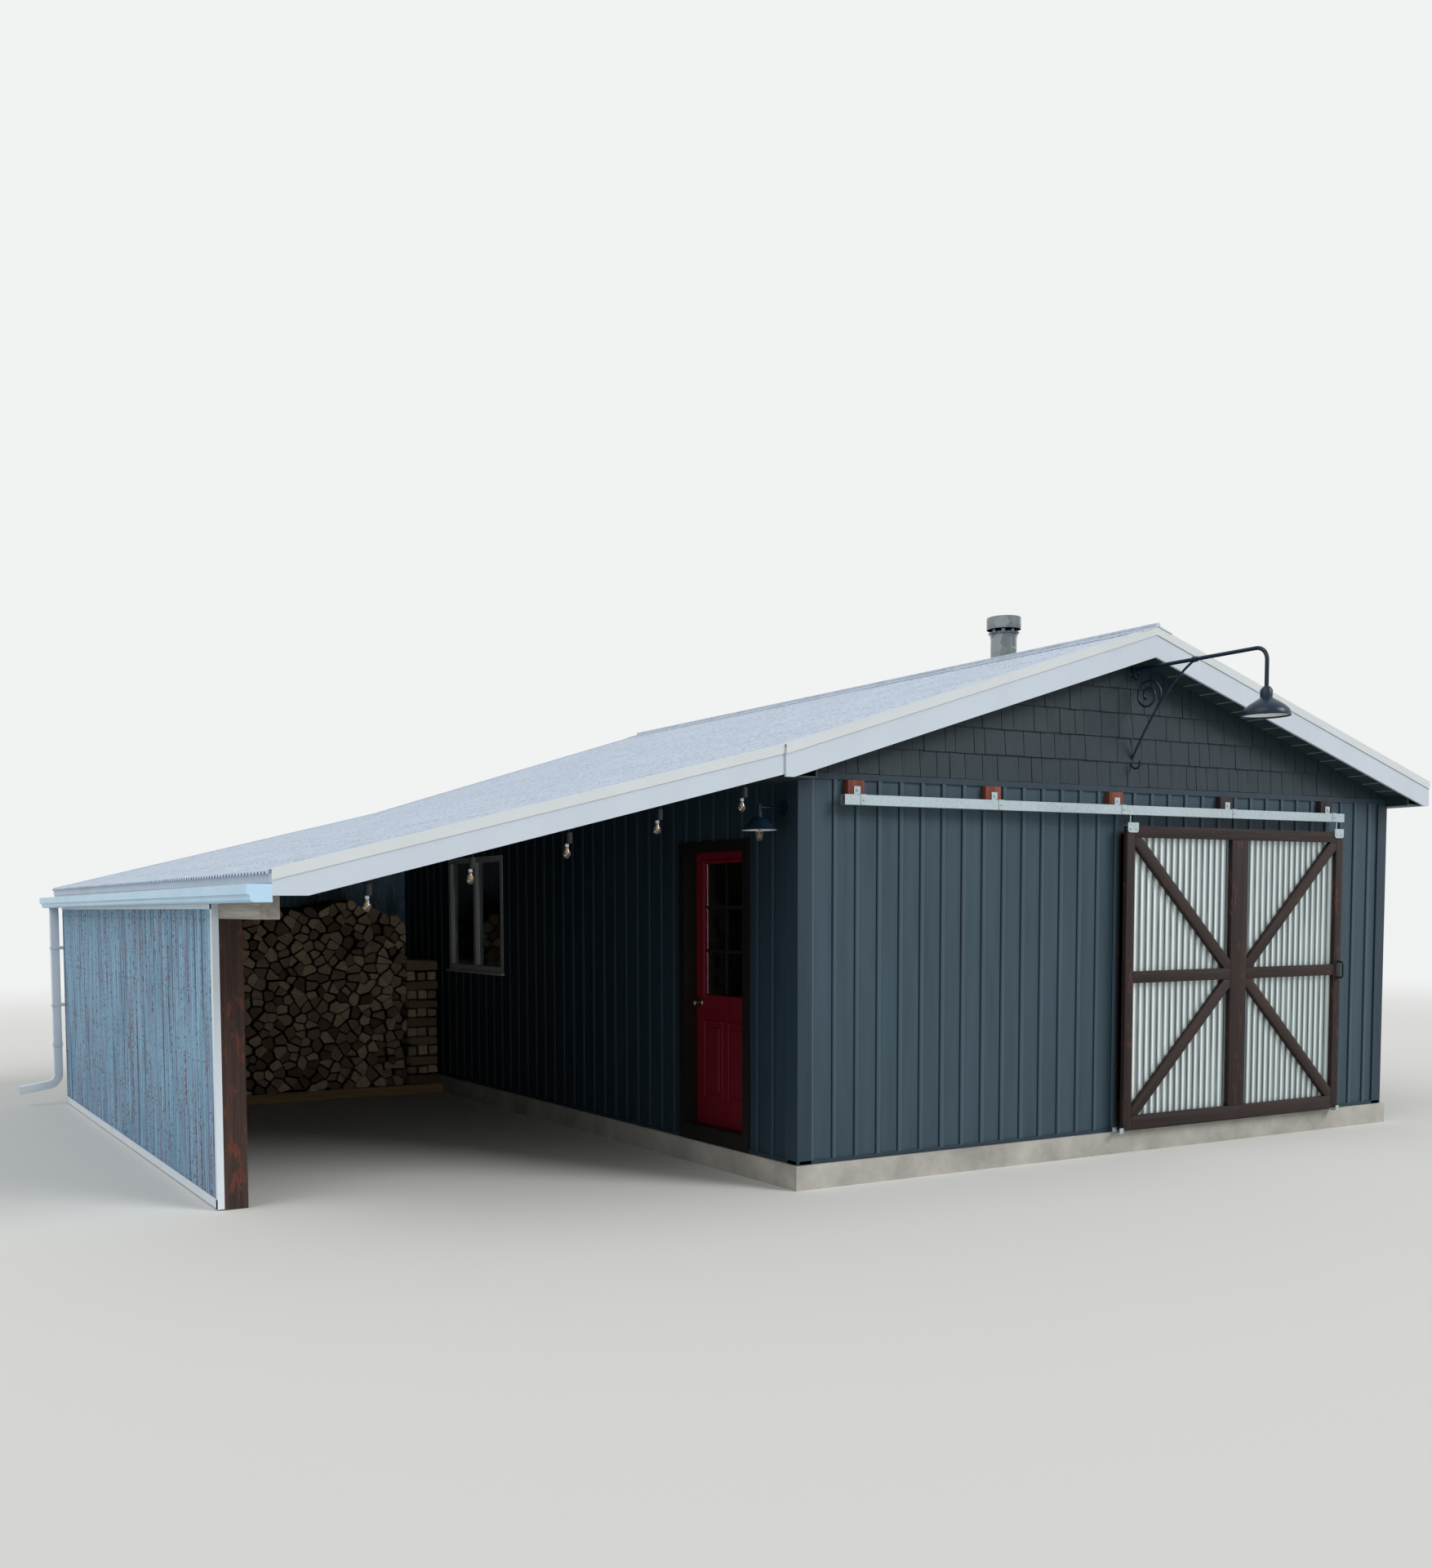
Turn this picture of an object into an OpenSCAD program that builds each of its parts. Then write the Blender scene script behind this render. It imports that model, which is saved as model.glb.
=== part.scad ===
/* [Base] */
// Height of the concrete base, from the lowest ground to the foot of the walls
base_h = 164; // [120:1:260]
// How far the concrete base stands out past the walls
base_ledge = 40; // [10:1:90]

/* [Main building] */
// Width of the main building across its gable
main_w = 6100; // [5900:10:7000]
// Depth of the main building from front to back
main_d = 7320; // [6900:10:9000]
// Height of the walls up to the belt trim
wall_h = 2600; // [2580:5:2900]
// Thickness of the outside walls
wall_t = 140; // [120:1:180]
// Height of the side walls above the belt, up to the roof
heel_h = 30; // [20:1:120]

/* [Main roof] */
// Rise of the main roof for each unit of run
roof_pitch = 0.307; // [0.27:0.001:0.36]
// Thickness of the main roof, measured upright
roof_t = 170; // [140:1:220]
// How far the roof stands out past the side walls
eave_over = 258; // [220:1:320]
// How far the roof stands out past the gables
rake_over = 230; // [180:1:320]
// Pitch of the corrugations in the roof sheets
corr_pitch = 68; // [60:1:90]
// Depth of the corrugations
corr_depth = 16; // [12:1:20]
// Thickness of a corrugated sheet
sheet_t = 3; // [2:0.5:4]
// How far the sheets stand out past the right eave
sheet_over = 40; // [20:5:60]

/* [Roof edges] */
// Thickness of the white edge boards
board_t = 20; // [15:1:30]
// Height of the white edge board under the main roof's flashing
fascia_h = 165; // [140:1:190]
// Height of the metal flashing above the edge board
flash_h = 60; // [50:1:75]
// Thickness of the flashing and of the ridge cap
flash_t = 4; // [3:0.5:6]
// Width of the flashing's leg that lies on the roof
flash_leg = 90; // [60:1:140]
// Thickness of the boards that close the eaves from below
soffit_t = 12; // [9:1:18]
// Width of the ridge cap on each side
ridge_leg = 150; // [110:1:220]
// Radius of the ridge roll
ridge_roll_r = 24; // [18:1:35]
// How far the ridge cap stands out past the gable flashing
ridge_over = 12; // [5:1:25]

/* [Lean-to] */
// Distance from the main wall to the outer face of the lean-to wall
lean_w = 3510; // [3000:10:4000]
// Rise of the lean-to roof for each unit of run
lean_pitch = 0.247; // [0.2:0.001:0.28]
// How far the lean-to roof stands out past its outer wall
lean_over = 35; // [30:1:120]
// How far the lean-to's sheets stand out over the gutter
lean_drip = 25; // [10:1:40]
// How far the lean-to's front edge stands behind the main one
lean_set_back = 15; // [8:1:40]
// Height of the white edge board under the lean-to's flashing
lean_fascia_h = 130; // [110:1:150]
// Thickness of the boards under the lean-to's roof sheets
lean_deck_t = 22; // [18:1:30]
// Depth of the lean-to's rafters
rafter_h = 140; // [120:1:150]
// Thickness of a rafter
rafter_t = 38; // [30:1:50]
// Number of lean-to rafters
rafter_n = 13; // [9:1:16]
// Distance from the main front to the front end of the lean-to wall
lean_wall_y = 1280; // [900:10:2000]
// Width of the beam along the top of the lean-to wall
beam_w = 120; // [90:1:150]
// Height of that beam
beam_h = 110; // [90:1:160]
// Distance from the main front to the beam's free end
beam_end_y = 335; // [100:5:700]
// Width of the square posts
post_w = 150; // [120:1:180]
// Thickness of the boards that carry the lean-to's sheets
girt_t = 20; // [15:1:30]
// Number of wall studs
stud_n = 9; // [6:1:12]
// Thickness of the wall behind the firewood
back_wall_t = 40; // [30:1:60]

/* [Gutter and downspout] */
// Width of the gutter at its top
gutter_w = 138; // [110:1:160]
// Height of the gutter
gutter_h = 97; // [80:1:110]
// Wall of the gutter and of the downspout
gutter_t = 3; // [2:0.5:4]
// How much the gutter falls towards the downspout
gutter_fall = 20; // [0:1:40]
// Width of the downspout across the wall
spout_w = 80; // [60:1:90]
// Depth of the downspout
spout_d = 60; // [50:1:75]

/* [Sliding door] */
// Width of the sliding door
door_w = 2500; // [2400:10:2560]
// Height of the sliding door
door_h = 2285; // [2150:5:2300]
// Gap under the sliding door
door_gap = 20; // [10:1:40]
// Distance from the right corner to the door's right edge
door_from_right = 694; // [600:1:800]
// How far the sliding door travels
door_travel = 2480; // [2300:5:2500]
// Thickness of the boards of the door's frame
door_board_t = 36; // [30:1:45]
// Width of the door's outer stiles
stile_w = 125; // [100:1:150]
// Width of the door's middle stile
mid_stile_w = 180; // [140:1:200]
// Height of the door's top and bottom rails
rail_h = 105; // [90:1:140]
// Height of the door's middle rail
mid_rail_h = 90; // [70:1:120]
// Width of the diagonal braces
brace_w = 90; // [70:1:120]
// Height of the door opening
opening_h = 2270; // [2150:5:2290]
// How far the door covers the wall at each side of the opening
door_lap = 35; // [20:1:60]
// Width of the casing boards round the opening
casing_w = 130; // [90:1:150]
// Thickness of the casing boards
casing_t = 25; // [18:1:32]

/* [Door track] */
// Height of the box track
track_h = 68; // [60:1:80]
// Depth of the box track
track_d = 50; // [44:1:60]
// Wall of the box track
track_t = 3; // [2:0.5:4]
// Width of the slot under the track
track_slot = 16; // [14:1:20]
// Height of the track's top below the belt trim
track_drop = 145; // [140:1:170]
// Thickness of the wooden blocks behind the track
block_t = 45; // [40:1:60]
// Width and height of those blocks
block_w = 140; // [110:1:150]
// Number of blocks
block_n = 5; // [4:1:6]
// Diameter of the hangers' wheels
wheel_d = 38; // [34:1:42]
// Clearance between a wheel and the track
wheel_gap = 0.3; // [0.2:0.1:0.6]

/* [Entry door] */
// Distance from the front corner to the entry door's frame
entry_y = 570; // [500:5:800]
// Width of the entry door's frame
entry_frame_w = 936; // [900:1:1000]
// Height of the entry door's frame
entry_frame_h = 2186; // [2100:1:2250]
// Width of a side of the entry door's frame
entry_jamb = 56; // [50:1:70]
// Height of the threshold
threshold_h = 106; // [60:1:120]
// Thickness of the entry door's leaf
leaf_t = 44; // [38:1:50]
// Gap round the entry door's leaf
leaf_gap = 7; // [6:0.5:9]

/* [Window] */
// Distance from the front corner to the window
window_y = 4730; // [3500:10:5200]
// Width of the window
window_w = 1320; // [900:10:1500]
// Height of the window
window_h = 1104; // [900:5:1150]
// Height of the window's sill above the foot of the wall
window_z = 1103; // [900:5:1200]
// Width of the window frame's members
window_bar = 55; // [40:1:70]

/* [Chimney] */
// Outside diameter of the chimney pipe
flue_d = 225; // [150:5:240]
// Wall of the chimney pipe
flue_t = 25; // [15:1:35]
// Distance of the chimney from the ridge
flue_x = 580; // [400:10:900]
// Distance of the chimney from the main front
flue_y = 2000; // [900:10:3000]
// Height of the chimney's top above the ridge
flue_rise = 490; // [300:10:800]
// How far the pipe reaches down into the room
flue_drop = 100; // [40:10:300]
// Diameter of the chimney cap
cap_d = 296; // [270:2:340]
// Height of the chimney cap's drum
cap_skirt = 105; // [80:1:130]
// Height of the vents under the drum
vent_h = 45; // [35:1:60]

/* [Lamps] */
// Reach of the gable lamp from the wall
lamp_reach = 1240; // [900:10:1500]
// Diameter of the gable lamp's shade
lamp_shade_d = 355; // [300:5:400]
// Height of the gable lamp's wall plate
lamp_plate = 734; // [700:1:760]
// Diameter of the wall lamp's shade
wall_shade_d = 240; // [200:5:280]
// Number of bulbs along the lean-to's front
string_n = 5; // [3:1:5]
// Distance between those bulbs
string_step = 616; // [400:1:620]

/* [Firewood] */
// Depth of the firewood stack from front to back
wood_d = 1060; // [600:10:1200]
// Height of the firewood stack
wood_h = 1600; // [1000:10:1650]

/* [Hidden] */
$fn = 32;
// Clearance between pieces that seat on each other
fit = 0.3;

xl = -main_w / 2;
xr = main_w / 2;
yf = -main_d / 2;
yb = main_d / 2;
z_wall = base_h;
z_belt = base_h + wall_h;
x_eave = main_w / 2 + eave_over;

main_sheet_h = (corr_depth + sheet_t) / cos(atan(roof_pitch));
lean_sheet_h = (corr_depth + sheet_t) / cos(atan(lean_pitch));
lean_low = lean_sheet_h + lean_deck_t + rafter_h;
z_under = z_belt + heel_h + roof_pitch * main_w / 2;
z_slab = z_under + roof_t;
z_sheet = z_slab + main_sheet_h;
z_flash = z_sheet + flash_t;
z_fascia = z_flash - flash_h - fascia_h;
eave_cut = z_under - roof_pitch * x_eave - soffit_t;

x_lean_wall = xl - lean_w;
x_tip = x_lean_wall - lean_over;
x_fold = -x_eave;
z_fold = z_sheet - roof_pitch * x_eave;
yl = yf - rake_over + lean_set_back;
ylb = yb + rake_over - lean_set_back;
z_tip = lean_z(x_tip);
beam_x = x_lean_wall + 40;
z_beam = lean_z(beam_x) - lean_low + lean_pitch * beam_w;
tail_cut = z_tip + flash_t - flash_h - lean_fascia_h + 48;
sheet_face = beam_x - girt_t - corr_depth - sheet_t;
sheet_z0 = 12;
sheet_z1 = tail_cut - fit;

door_x1 = xr - door_from_right;
door_x0 = door_x1 - door_w;
track_y = yf - block_t - 15 - track_d / 2;
track_top = z_belt - track_drop;
block_low = track_top + 100 - block_w;
ridge_gap = 3;
track_x1 = door_x1 + 10;
track_x0 = track_x1 - door_w - door_travel - block_w;
panel_t = 16;
panel_sheet = 2;
door_t = door_board_t + panel_t + panel_sheet;
door_y0 = track_y - door_t / 2;
board_y1 = door_y0 + door_board_t;
door_z0 = base_h + door_gap;
door_z1 = door_z0 + door_h;
door_mid = door_z0 + door_h / 2;
open_x0 = door_x0 + door_lap;
open_x1 = door_x1 - door_lap;

entry_y0 = yf + entry_y;
entry_y1 = entry_y0 + entry_frame_w;
leaf_y0 = entry_y0 + entry_jamb + leaf_gap;
leaf_y1 = entry_y1 - entry_jamb - leaf_gap;
leaf_z0 = base_h + threshold_h + leaf_gap;
leaf_z1 = base_h + entry_frame_h - entry_jamb - leaf_gap;
leaf_x1 = xl + wall_t;
leaf_x0 = leaf_x1 - leaf_t;
hinge_x = leaf_x1 + 9;
hinge_y = leaf_y0 - leaf_gap / 2;

siding = "#2c3f4a";
shake = "#24343d";
white = "#dfe5ea";
zinc = "#9fb0bd";
timber = "#3b2826";

function roof_z(x) = z_sheet - roof_pitch * abs(x);
function under_z(x) = z_under - roof_pitch * abs(x);
function wall_top(x) = under_z(x) - fit;
function seat_z(x) = roof_z(x) + fit;
function lean_z(x) = z_fold - lean_pitch * (x_fold - x);
function wave(n, pitch, depth) = [for (i = [0:4 * n])
    let (step = i % 4)
    [(floor(i / 4) + [0, 0.18, 0.5, 0.68][step]) * pitch, step < 1 || step > 2 ? 0 : depth]];

// A flat outline in X and Z, drawn out along Y
module along_y(y0, y1) {
    translate([0, y1, 0]) rotate([90, 0, 0]) linear_extrude(y1 - y0) children();
}

// A box given by its lowest and highest corners
module block(low, high) {
    translate(low) cube(high - low);
}

// A corrugated sheet of n ribs that stands up along Z, its ribs facing +Y
module corrugated(n, height, pitch, depth, thick) {
    line = wave(n, pitch, depth);
    back = [for (i = [len(line) - 1:-1:0]) line[i] + [0, thick]];
    linear_extrude(height) polygon(concat(line, back));
}

// Base and walls
module floor_slab() {
    color("#b9b7b0")
    block([xl - base_ledge, yf - base_ledge, 0], [xr + base_ledge, yb + base_ledge, base_h]);
}

module front_wall_left() {
    color(siding) block([xl, yf, z_wall], [open_x0, yf + wall_t, z_belt]);
}

module front_wall_right() {
    color(siding) block([open_x1, yf, z_wall], [xr, yf + wall_t, z_belt]);
}

module front_wall_over_door() {
    color(siding) block([open_x0, yf, z_wall + opening_h], [open_x1, yf + wall_t, z_belt]);
}

module gable(y0) {
    color(shake)
    along_y(y0, y0 + wall_t)
    polygon([[xl, z_belt], [xr, z_belt], [xr, wall_top(xr)], [0, wall_top(0)], [xl, wall_top(xl)]]);
}

module front_gable() {
    gable(yf);
}

module back_gable() {
    gable(yb - wall_t);
}

module back_wall() {
    color(siding) block([xl, yb - wall_t, z_wall], [xr, yb, z_belt]);
}

// A stretch of side wall, its top cut to the roof's slope
module side_wall(side, y0, y1, z0) {
    outer = side * xr;
    inner = side * (xr - wall_t);
    color(siding)
    along_y(y0, y1)
    polygon([[outer, z0], [inner, z0], [inner, wall_top(inner)], [outer, wall_top(outer)]]);
}

module right_wall() {
    side_wall(1, yf + wall_t, yb - wall_t, z_wall);
}

module left_wall_front() {
    side_wall(-1, yf + wall_t, entry_y0, z_wall);
}

module left_wall_over_door() {
    side_wall(-1, entry_y0, entry_y1, z_wall + entry_frame_h);
}

module left_wall_back() {
    difference() {
        side_wall(-1, entry_y1, yb - wall_t, z_wall);
        color(siding)
        block([xl - 1, yf + window_y, z_wall + window_z],
            [xl + wall_t + 1, yf + window_y + window_w, z_wall + window_z + window_h]);
    }
}

// Corner posts and the belt trim between siding and shakes
trim_w = 100;
trim_t = 14;
belt_h = 42;

module corner_post(side_x, side_y) {
    mirror([side_x < 0 ? 1 : 0, 0, 0])
    mirror([0, side_y < 0 ? 1 : 0, 0]) {
        block([xr - trim_w, yb, z_wall], [xr, yb + trim_t, z_belt - belt_h]);
        block([xr, yb - trim_w, z_wall], [xr + trim_t, yb + trim_t, eave_cut]);
    }
}

module belt(y) {
    block([xl, y, z_belt - belt_h], [xr, y + trim_t, z_belt]);
}

module wall_trim() {
    color("#40535e") {
        for (side_x = [-1, 1]) for (side_y = [-1, 1]) corner_post(side_x, side_y);
        belt(yf - trim_t);
        belt(yb);
    }
}

// Main roof
module roof_half(side, reach) {
    x1 = side * reach;
    along_y(yf - rake_over + board_t, yb + rake_over - board_t)
    polygon([[0, z_under], [0, z_slab], [x1, z_slab - roof_pitch * abs(x1)], [x1, under_z(x1)]]);
}

module flue_hole(radius) {
    translate([flue_x, yf + flue_y, z_belt]) cylinder(h = flue_top - z_belt, r = radius);
}

module roof_left() {
    color("#6f7f8a") roof_half(-1, x_eave);
}

module roof_right() {
    color("#6f7f8a")
    difference() {
        roof_half(1, x_eave - board_t);
        flue_hole(flue_d / 2 + fit);
    }
}

// A corrugated roof sheet that runs down from a high point at the slope's pitch
module sloped_sheet(run, pitch, y0, y1) {
    slope = atan(pitch);
    n = floor((y1 - y0) / corr_pitch);
    rotate([0, 90 + slope, 0])
    rotate([0, 0, 90])
    translate([(y1 - y0 - n * corr_pitch) / 2 + y0, 0, 0])
    corrugated(n, run / cos(slope), corr_pitch, corr_depth, sheet_t);
}

module main_sheet(side) {
    intersection() {
        translate([side * ridge_gap, 0, z_slab - roof_pitch * ridge_gap])
        mirror([side < 0 ? 1 : 0, 0, 0])
        sloped_sheet(x_eave + 3 * sheet_over, roof_pitch, yf - rake_over, yb + rake_over);
        x0 = side < 0 ? -x_eave : ridge_gap;
        x1 = side < 0 ? -ridge_gap : x_eave + sheet_over;
        block([x0, yf - rake_over, 0], [x1, yb + rake_over, z_flash]);
    }
}

module roof_sheets() {
    color(zinc)
    difference() {
        union() {
            main_sheet(-1);
            main_sheet(1);
        }
        flue_hole(flue_d / 2 + fit);
    }
}

module ridge_cap() {
    color(zinc)
    along_y(yf - rake_over - ridge_over, yb + rake_over + ridge_over)
    difference() {
        union() {
            polygon([[-ridge_leg, seat_z(ridge_leg)], [0, seat_z(0)], [ridge_leg, seat_z(ridge_leg)],
                [ridge_leg, roof_z(ridge_leg) + 2 * flash_t], [0, z_sheet + 2 * flash_t],
                [-ridge_leg, roof_z(ridge_leg) + 2 * flash_t]]);
            translate([0, z_sheet + flash_t]) circle(r = ridge_roll_r);
        }
        polygon([[-ridge_leg, seat_z(ridge_leg)], [0, seat_z(0)], [ridge_leg, seat_z(ridge_leg)],
            [ridge_leg, z_under], [-ridge_leg, z_under]]);
    }
}

// Edge boards and flashing of a gable, from eave to eave
module gable_edge(y_wall, side_y) {
    y_face = y_wall + side_y * rake_over;
    y_back = y_face - side_y * board_t;
    y_front = y_face + side_y * flash_t;
    y_leg = y_face - side_y * flash_leg;
    color(white) {
        along_y(min(y_face, y_back), max(y_face, y_back))
        intersection() {
            rake_band(z_fascia, z_slab);
            translate([-x_eave, eave_cut]) square([2 * x_eave, z_slab]);
        }
        along_y(min(y_face, y_front), max(y_face, y_front))
        difference() {
            rake_band(z_fascia + fascia_h, z_flash);
            ridge_room();
        }
        along_y(min(y_front, y_leg), max(y_front, y_leg))
        difference() {
            rake_band(z_sheet + fit, z_flash);
            ridge_room();
        }
    }
}

// Where the ridge cap lies over the flashing
module ridge_room() {
    polygon([[-ridge_leg, roof_z(ridge_leg)], [0, z_sheet], [ridge_leg, roof_z(ridge_leg)],
        [ridge_leg, z_flash + flash_t], [-ridge_leg, z_flash + flash_t]]);
}

// The outline between two lines that follow the main roof
module rake_band(z0, z1) {
    drop = roof_pitch * x_eave;
    polygon([[-x_eave, z0 - drop], [0, z0], [x_eave, z0 - drop], [x_eave, z1 - drop], [0, z1],
        [-x_eave, z1 - drop]]);
}

module front_fascia() {
    gable_edge(yf, -1);
}

module back_fascia() {
    gable_edge(yb, 1);
}

module right_eave_fascia() {
    y0 = yf - rake_over + board_t;
    y1 = yb + rake_over - board_t;
    x0 = x_eave - board_t;
    color(white)
    along_y(y0, y1)
    polygon([[x0, eave_cut], [x_eave, eave_cut], [x_eave, z_slab - roof_pitch * x_eave],
        [x0, z_slab - roof_pitch * x0]]);
}

// Boards that close the overhangs from below
module eave_soffit() {
    color("#2a393c") {
        rake_soffit(yf - rake_over + board_t, yf);
        rake_soffit(yb, yb + rake_over - board_t);
        for (side = [-1, 1]) side_soffit(side);
    }
}

module rake_soffit(y0, y1) {
    side_z = under_z(xr) - soffit_t;
    along_y(y0, y1)
    polygon([[xl, wall_top(xl)], [0, wall_top(0)], [xr, wall_top(xr)], [xr, side_z],
        [0, z_under - soffit_t], [xl, side_z]]);
}

module side_soffit(side) {
    y0 = yf - rake_over + board_t;
    y1 = yb + rake_over - board_t;
    x1 = side < 0 ? x_eave : x_eave - board_t;
    mirror([side < 0 ? 1 : 0, 0, 0]) {
        block([xr, y0, eave_cut], [x1, y1, eave_cut + soffit_t]);
        for (y = [y0, yb])
            along_y(y, y == y0 ? yf : y1)
            polygon([[xr, eave_cut], [xr + soffit_t, eave_cut],
                [xr + soffit_t, wall_top(xr + soffit_t)], [xr, wall_top(xr)]]);
    }
}

// Lean-to roof
module lean_band(x0, x1, z0, z1) {
    polygon([[x0, lean_z(x0) + z0], [x1, lean_z(x1) + z0], [x1, lean_z(x1) + z1], [x0, lean_z(x0) + z1]]);
}

module lean_to_deck() {
    color("#5d5148")
    along_y(yl + board_t, ylb - board_t)
    lean_band(x_tip + board_t, x_fold, -lean_sheet_h - lean_deck_t, -lean_sheet_h - fit);
}

module lean_to_sheet() {
    color(zinc)
    intersection() {
        translate([x_fold, 0, z_fold - lean_sheet_h])
        mirror([1, 0, 0])
        sloped_sheet(x_fold - x_tip + 3 * lean_drip, lean_pitch, yl, ylb);
        block([x_tip - lean_drip, yl, 0], [x_fold - corr_depth * lean_pitch, ylb, z_sheet]);
    }
}

// Rafters: an even row up to the back wall, and one behind the back edge board
module lean_to_rafters() {
    first = yl + board_t;
    step = (yb - back_wall_t - rafter_t - first) / (rafter_n - 2);
    last = ylb - board_t - rafter_t;
    color("#5d5148")
    for (i = [0:rafter_n - 1]) {
        y = i < rafter_n - 1 ? first + i * step : last;
        along_y(y, y + rafter_t)
        difference() {
            lean_band(x_tip + board_t, x_fold, -lean_low, rafter_h - lean_low);
            translate([beam_x, z_beam - rafter_h]) square([beam_w, rafter_h]);
            translate([x_tip, tail_cut - rafter_h]) square([beam_x - x_tip, rafter_h]);
        }
    }
}

// Edge boards and flashing of the lean-to: front, eave and back as one run
module lean_to_fascia() {
    color(white) {
        along_y(yl, yl + board_t) lean_board(x_fold);
        along_y(ylb - board_t, ylb) lean_board(x_fold);
        along_y(yl, ylb) lean_board(x_tip + board_t);
        block([x_tip - flash_t, yl, z_tip - flash_h - 10],
            [x_tip, ylb, z_tip - lean_sheet_h - lean_pitch * flash_t - fit]);
        for (side = [0, 1]) {
            y_face = side == 0 ? yl - flash_t : ylb;
            y_leg = side == 0 ? yl - flash_t : ylb - flash_leg;
            along_y(y_face, y_face + flash_t)
            lean_band(x_tip, x_fold, flash_t - flash_h, flash_t);
            along_y(y_leg, y_leg + flash_leg + flash_t)
            lean_band(x_tip, x_fold, fit, flash_t);
        }
    }
}

module lean_board(x1) {
    intersection() {
        lean_band(x_tip, x1, flash_t - flash_h - lean_fascia_h, -lean_sheet_h - fit);
        translate([x_tip, tail_cut]) square([x1 - x_tip, z_sheet]);
    }
}

// The gutter's outline: flat back and bottom, curved front, rolled lip
module gutter_shape(w, h) {
    base = w * 0.68;
    difference() {
        union() {
            square([base, h]);
            translate([base - 1, h * 0.3]) square([w - base + 1, h * 0.7]);
            translate([base, h * 0.3]) circle(r = h * 0.3);
        }
        translate([w, h * 0.25]) circle(r = h * 0.2);
    }
}

gutter_top = z_tip - 76;

module gutter() {
    len = ylb - yl;
    color(white)
    translate([x_tip, yl, gutter_top - gutter_h])
    rotate([-atan(gutter_fall / len), 0, 0])
    mirror([1, 0, 0])
    difference() {
        translate([0, len, 0]) rotate([90, 0, 0]) linear_extrude(len) gutter_shape(gutter_w, gutter_h);
        translate([gutter_t, len - gutter_t, gutter_t])
        rotate([90, 0, 0])
        linear_extrude(len - 2 * gutter_t)
        gutter_shape(gutter_w - 2 * gutter_t, gutter_h);
        translate([(gutter_w * 0.68 - spout_w) / 2 + gutter_t, spout_y + gutter_t - yl, -20])
        cube([spout_w - 2 * gutter_t, spout_d - 2 * gutter_t, 60]);
    }
}

spout_x = x_tip - (gutter_w * 0.68 + spout_w) / 2;
spout_y = yb - spout_d - 20;

// The downspout's outline with its foot turned outwards, drawn in by a wall
module spout_outline(inset, over) {
    x0 = spout_x + inset;
    x1 = spout_x + spout_w - inset;
    end = spout_x - 330 - over;
    lift = inset / cos(atan(spout_slope));
    tall = (spout_w - 2 * inset) / cos(atan(spout_slope));
    polygon([[x0, spout_top + over], [x1, spout_top + over], [x1, spout_run(x1) + lift],
        [end, spout_run(end) + lift], [end, spout_run(end) + lift + tall], [x0, spout_run(x0) + lift + tall]]);
}

spout_foot = 200;
spout_slope = 0.25;
spout_top = gutter_top - gutter_h - gutter_fall;
function spout_run(x) = spout_foot - spout_slope * (spout_x + spout_w - x);

module downspout() {
    x1 = spout_x + spout_w;
    color(white) {
        difference() {
            union() {
                along_y(spout_y, spout_y + spout_d) spout_outline(0, 0);
                translate([spout_x - 8, spout_y - 8, 560]) cube([spout_w + 16, spout_d + 16, 60]);
            }
            along_y(spout_y + gutter_t, spout_y + spout_d - gutter_t) spout_outline(gutter_t, 1);
        }
        for (z = [500, 1500])
            block([x1 - 1, spout_y + 10, z], [sheet_face, spout_y + spout_d - 10, z + 25]);
    }
}

// Lean-to wall
module lean_to_beam() {
    color("#b9b4ab")
    block([beam_x, yf + beam_end_y, z_beam - beam_h], [beam_x + beam_w, yb, z_beam]);
}

module lean_to_posts() {
    color("#4a332d")
    for (y = [yf + lean_wall_y, yb - post_w])
        block([beam_x, y, 0], [beam_x + post_w, y + post_w, z_beam - beam_h]);
}

module lean_to_wall_frame() {
    y0 = yf + lean_wall_y;
    y1 = yb;
    top = z_beam - beam_h;
    girt_h = 90;
    sole_h = 90;
    stud_d = 89;
    step = (y1 - y0 - 2 * post_w - rafter_t) / (stud_n + 1);
    color("#5d5148") {
        for (z = [20, (top - girt_h) / 2, top - girt_h - 30])
            block([beam_x - girt_t, y0 + fit, z], [beam_x, y1, z + girt_h]);
        block([beam_x, y0 + post_w, 0], [beam_x + stud_d, y1 - post_w, sole_h]);
        for (i = [1:stud_n])
            translate([beam_x, y0 + post_w + i * step, sole_h - 1])
            cube([stud_d, rafter_t, top - sole_h + 1]);
    }
}

module lean_to_wall_sheets() {
    width = main_d - lean_wall_y;
    n = round(width / corr_pitch);
    color("#7290a8")
    translate([beam_x - girt_t, yb, sheet_z0])
    rotate([0, 0, 90])
    mirror([1, 0, 0])
    corrugated(n, sheet_z1 - sheet_z0, width / n, corr_depth, sheet_t);
}

module lean_to_wall_trim() {
    y0 = yf + lean_wall_y;
    x0 = sheet_face - 4;
    low = sheet_z0 - 4;
    high = sheet_z1 - 4;
    color(white) {
        block([x0, y0, low], [sheet_face, yb, low + 60]);
        block([x0, y0, high - 40], [sheet_face, yb, high]);
        block([x0, y0 - 4, low], [sheet_face, y0 + 40, high]);
        block([sheet_face, y0 - 4, low], [beam_x + 30, y0, z_beam - beam_h]);
    }
}

module lean_to_back_wall() {
    x0 = beam_x + post_w;
    x1 = beam_x + beam_w;
    low = -lean_sheet_h - lean_deck_t;
    color("#6b7f8d")
    along_y(yb - back_wall_t, yb)
    polygon([[x0, 0], [xl - base_ledge, 0], [xl - base_ledge, z_wall], [xl - trim_t, z_wall],
        [xl - trim_t, eave_cut], [x_fold, eave_cut], [x_fold, lean_z(x_fold) + low],
        [x1, lean_z(x1) + low], [x1, z_beam - beam_h], [x0, z_beam - beam_h]]);
}

// Stacked firewood on two sills
wood_y1 = yb - back_wall_t - 20;
wood_x0 = beam_x + post_w + 20;
wood_x1 = xl - base_ledge - 20;
sill_h = 90;

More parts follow.
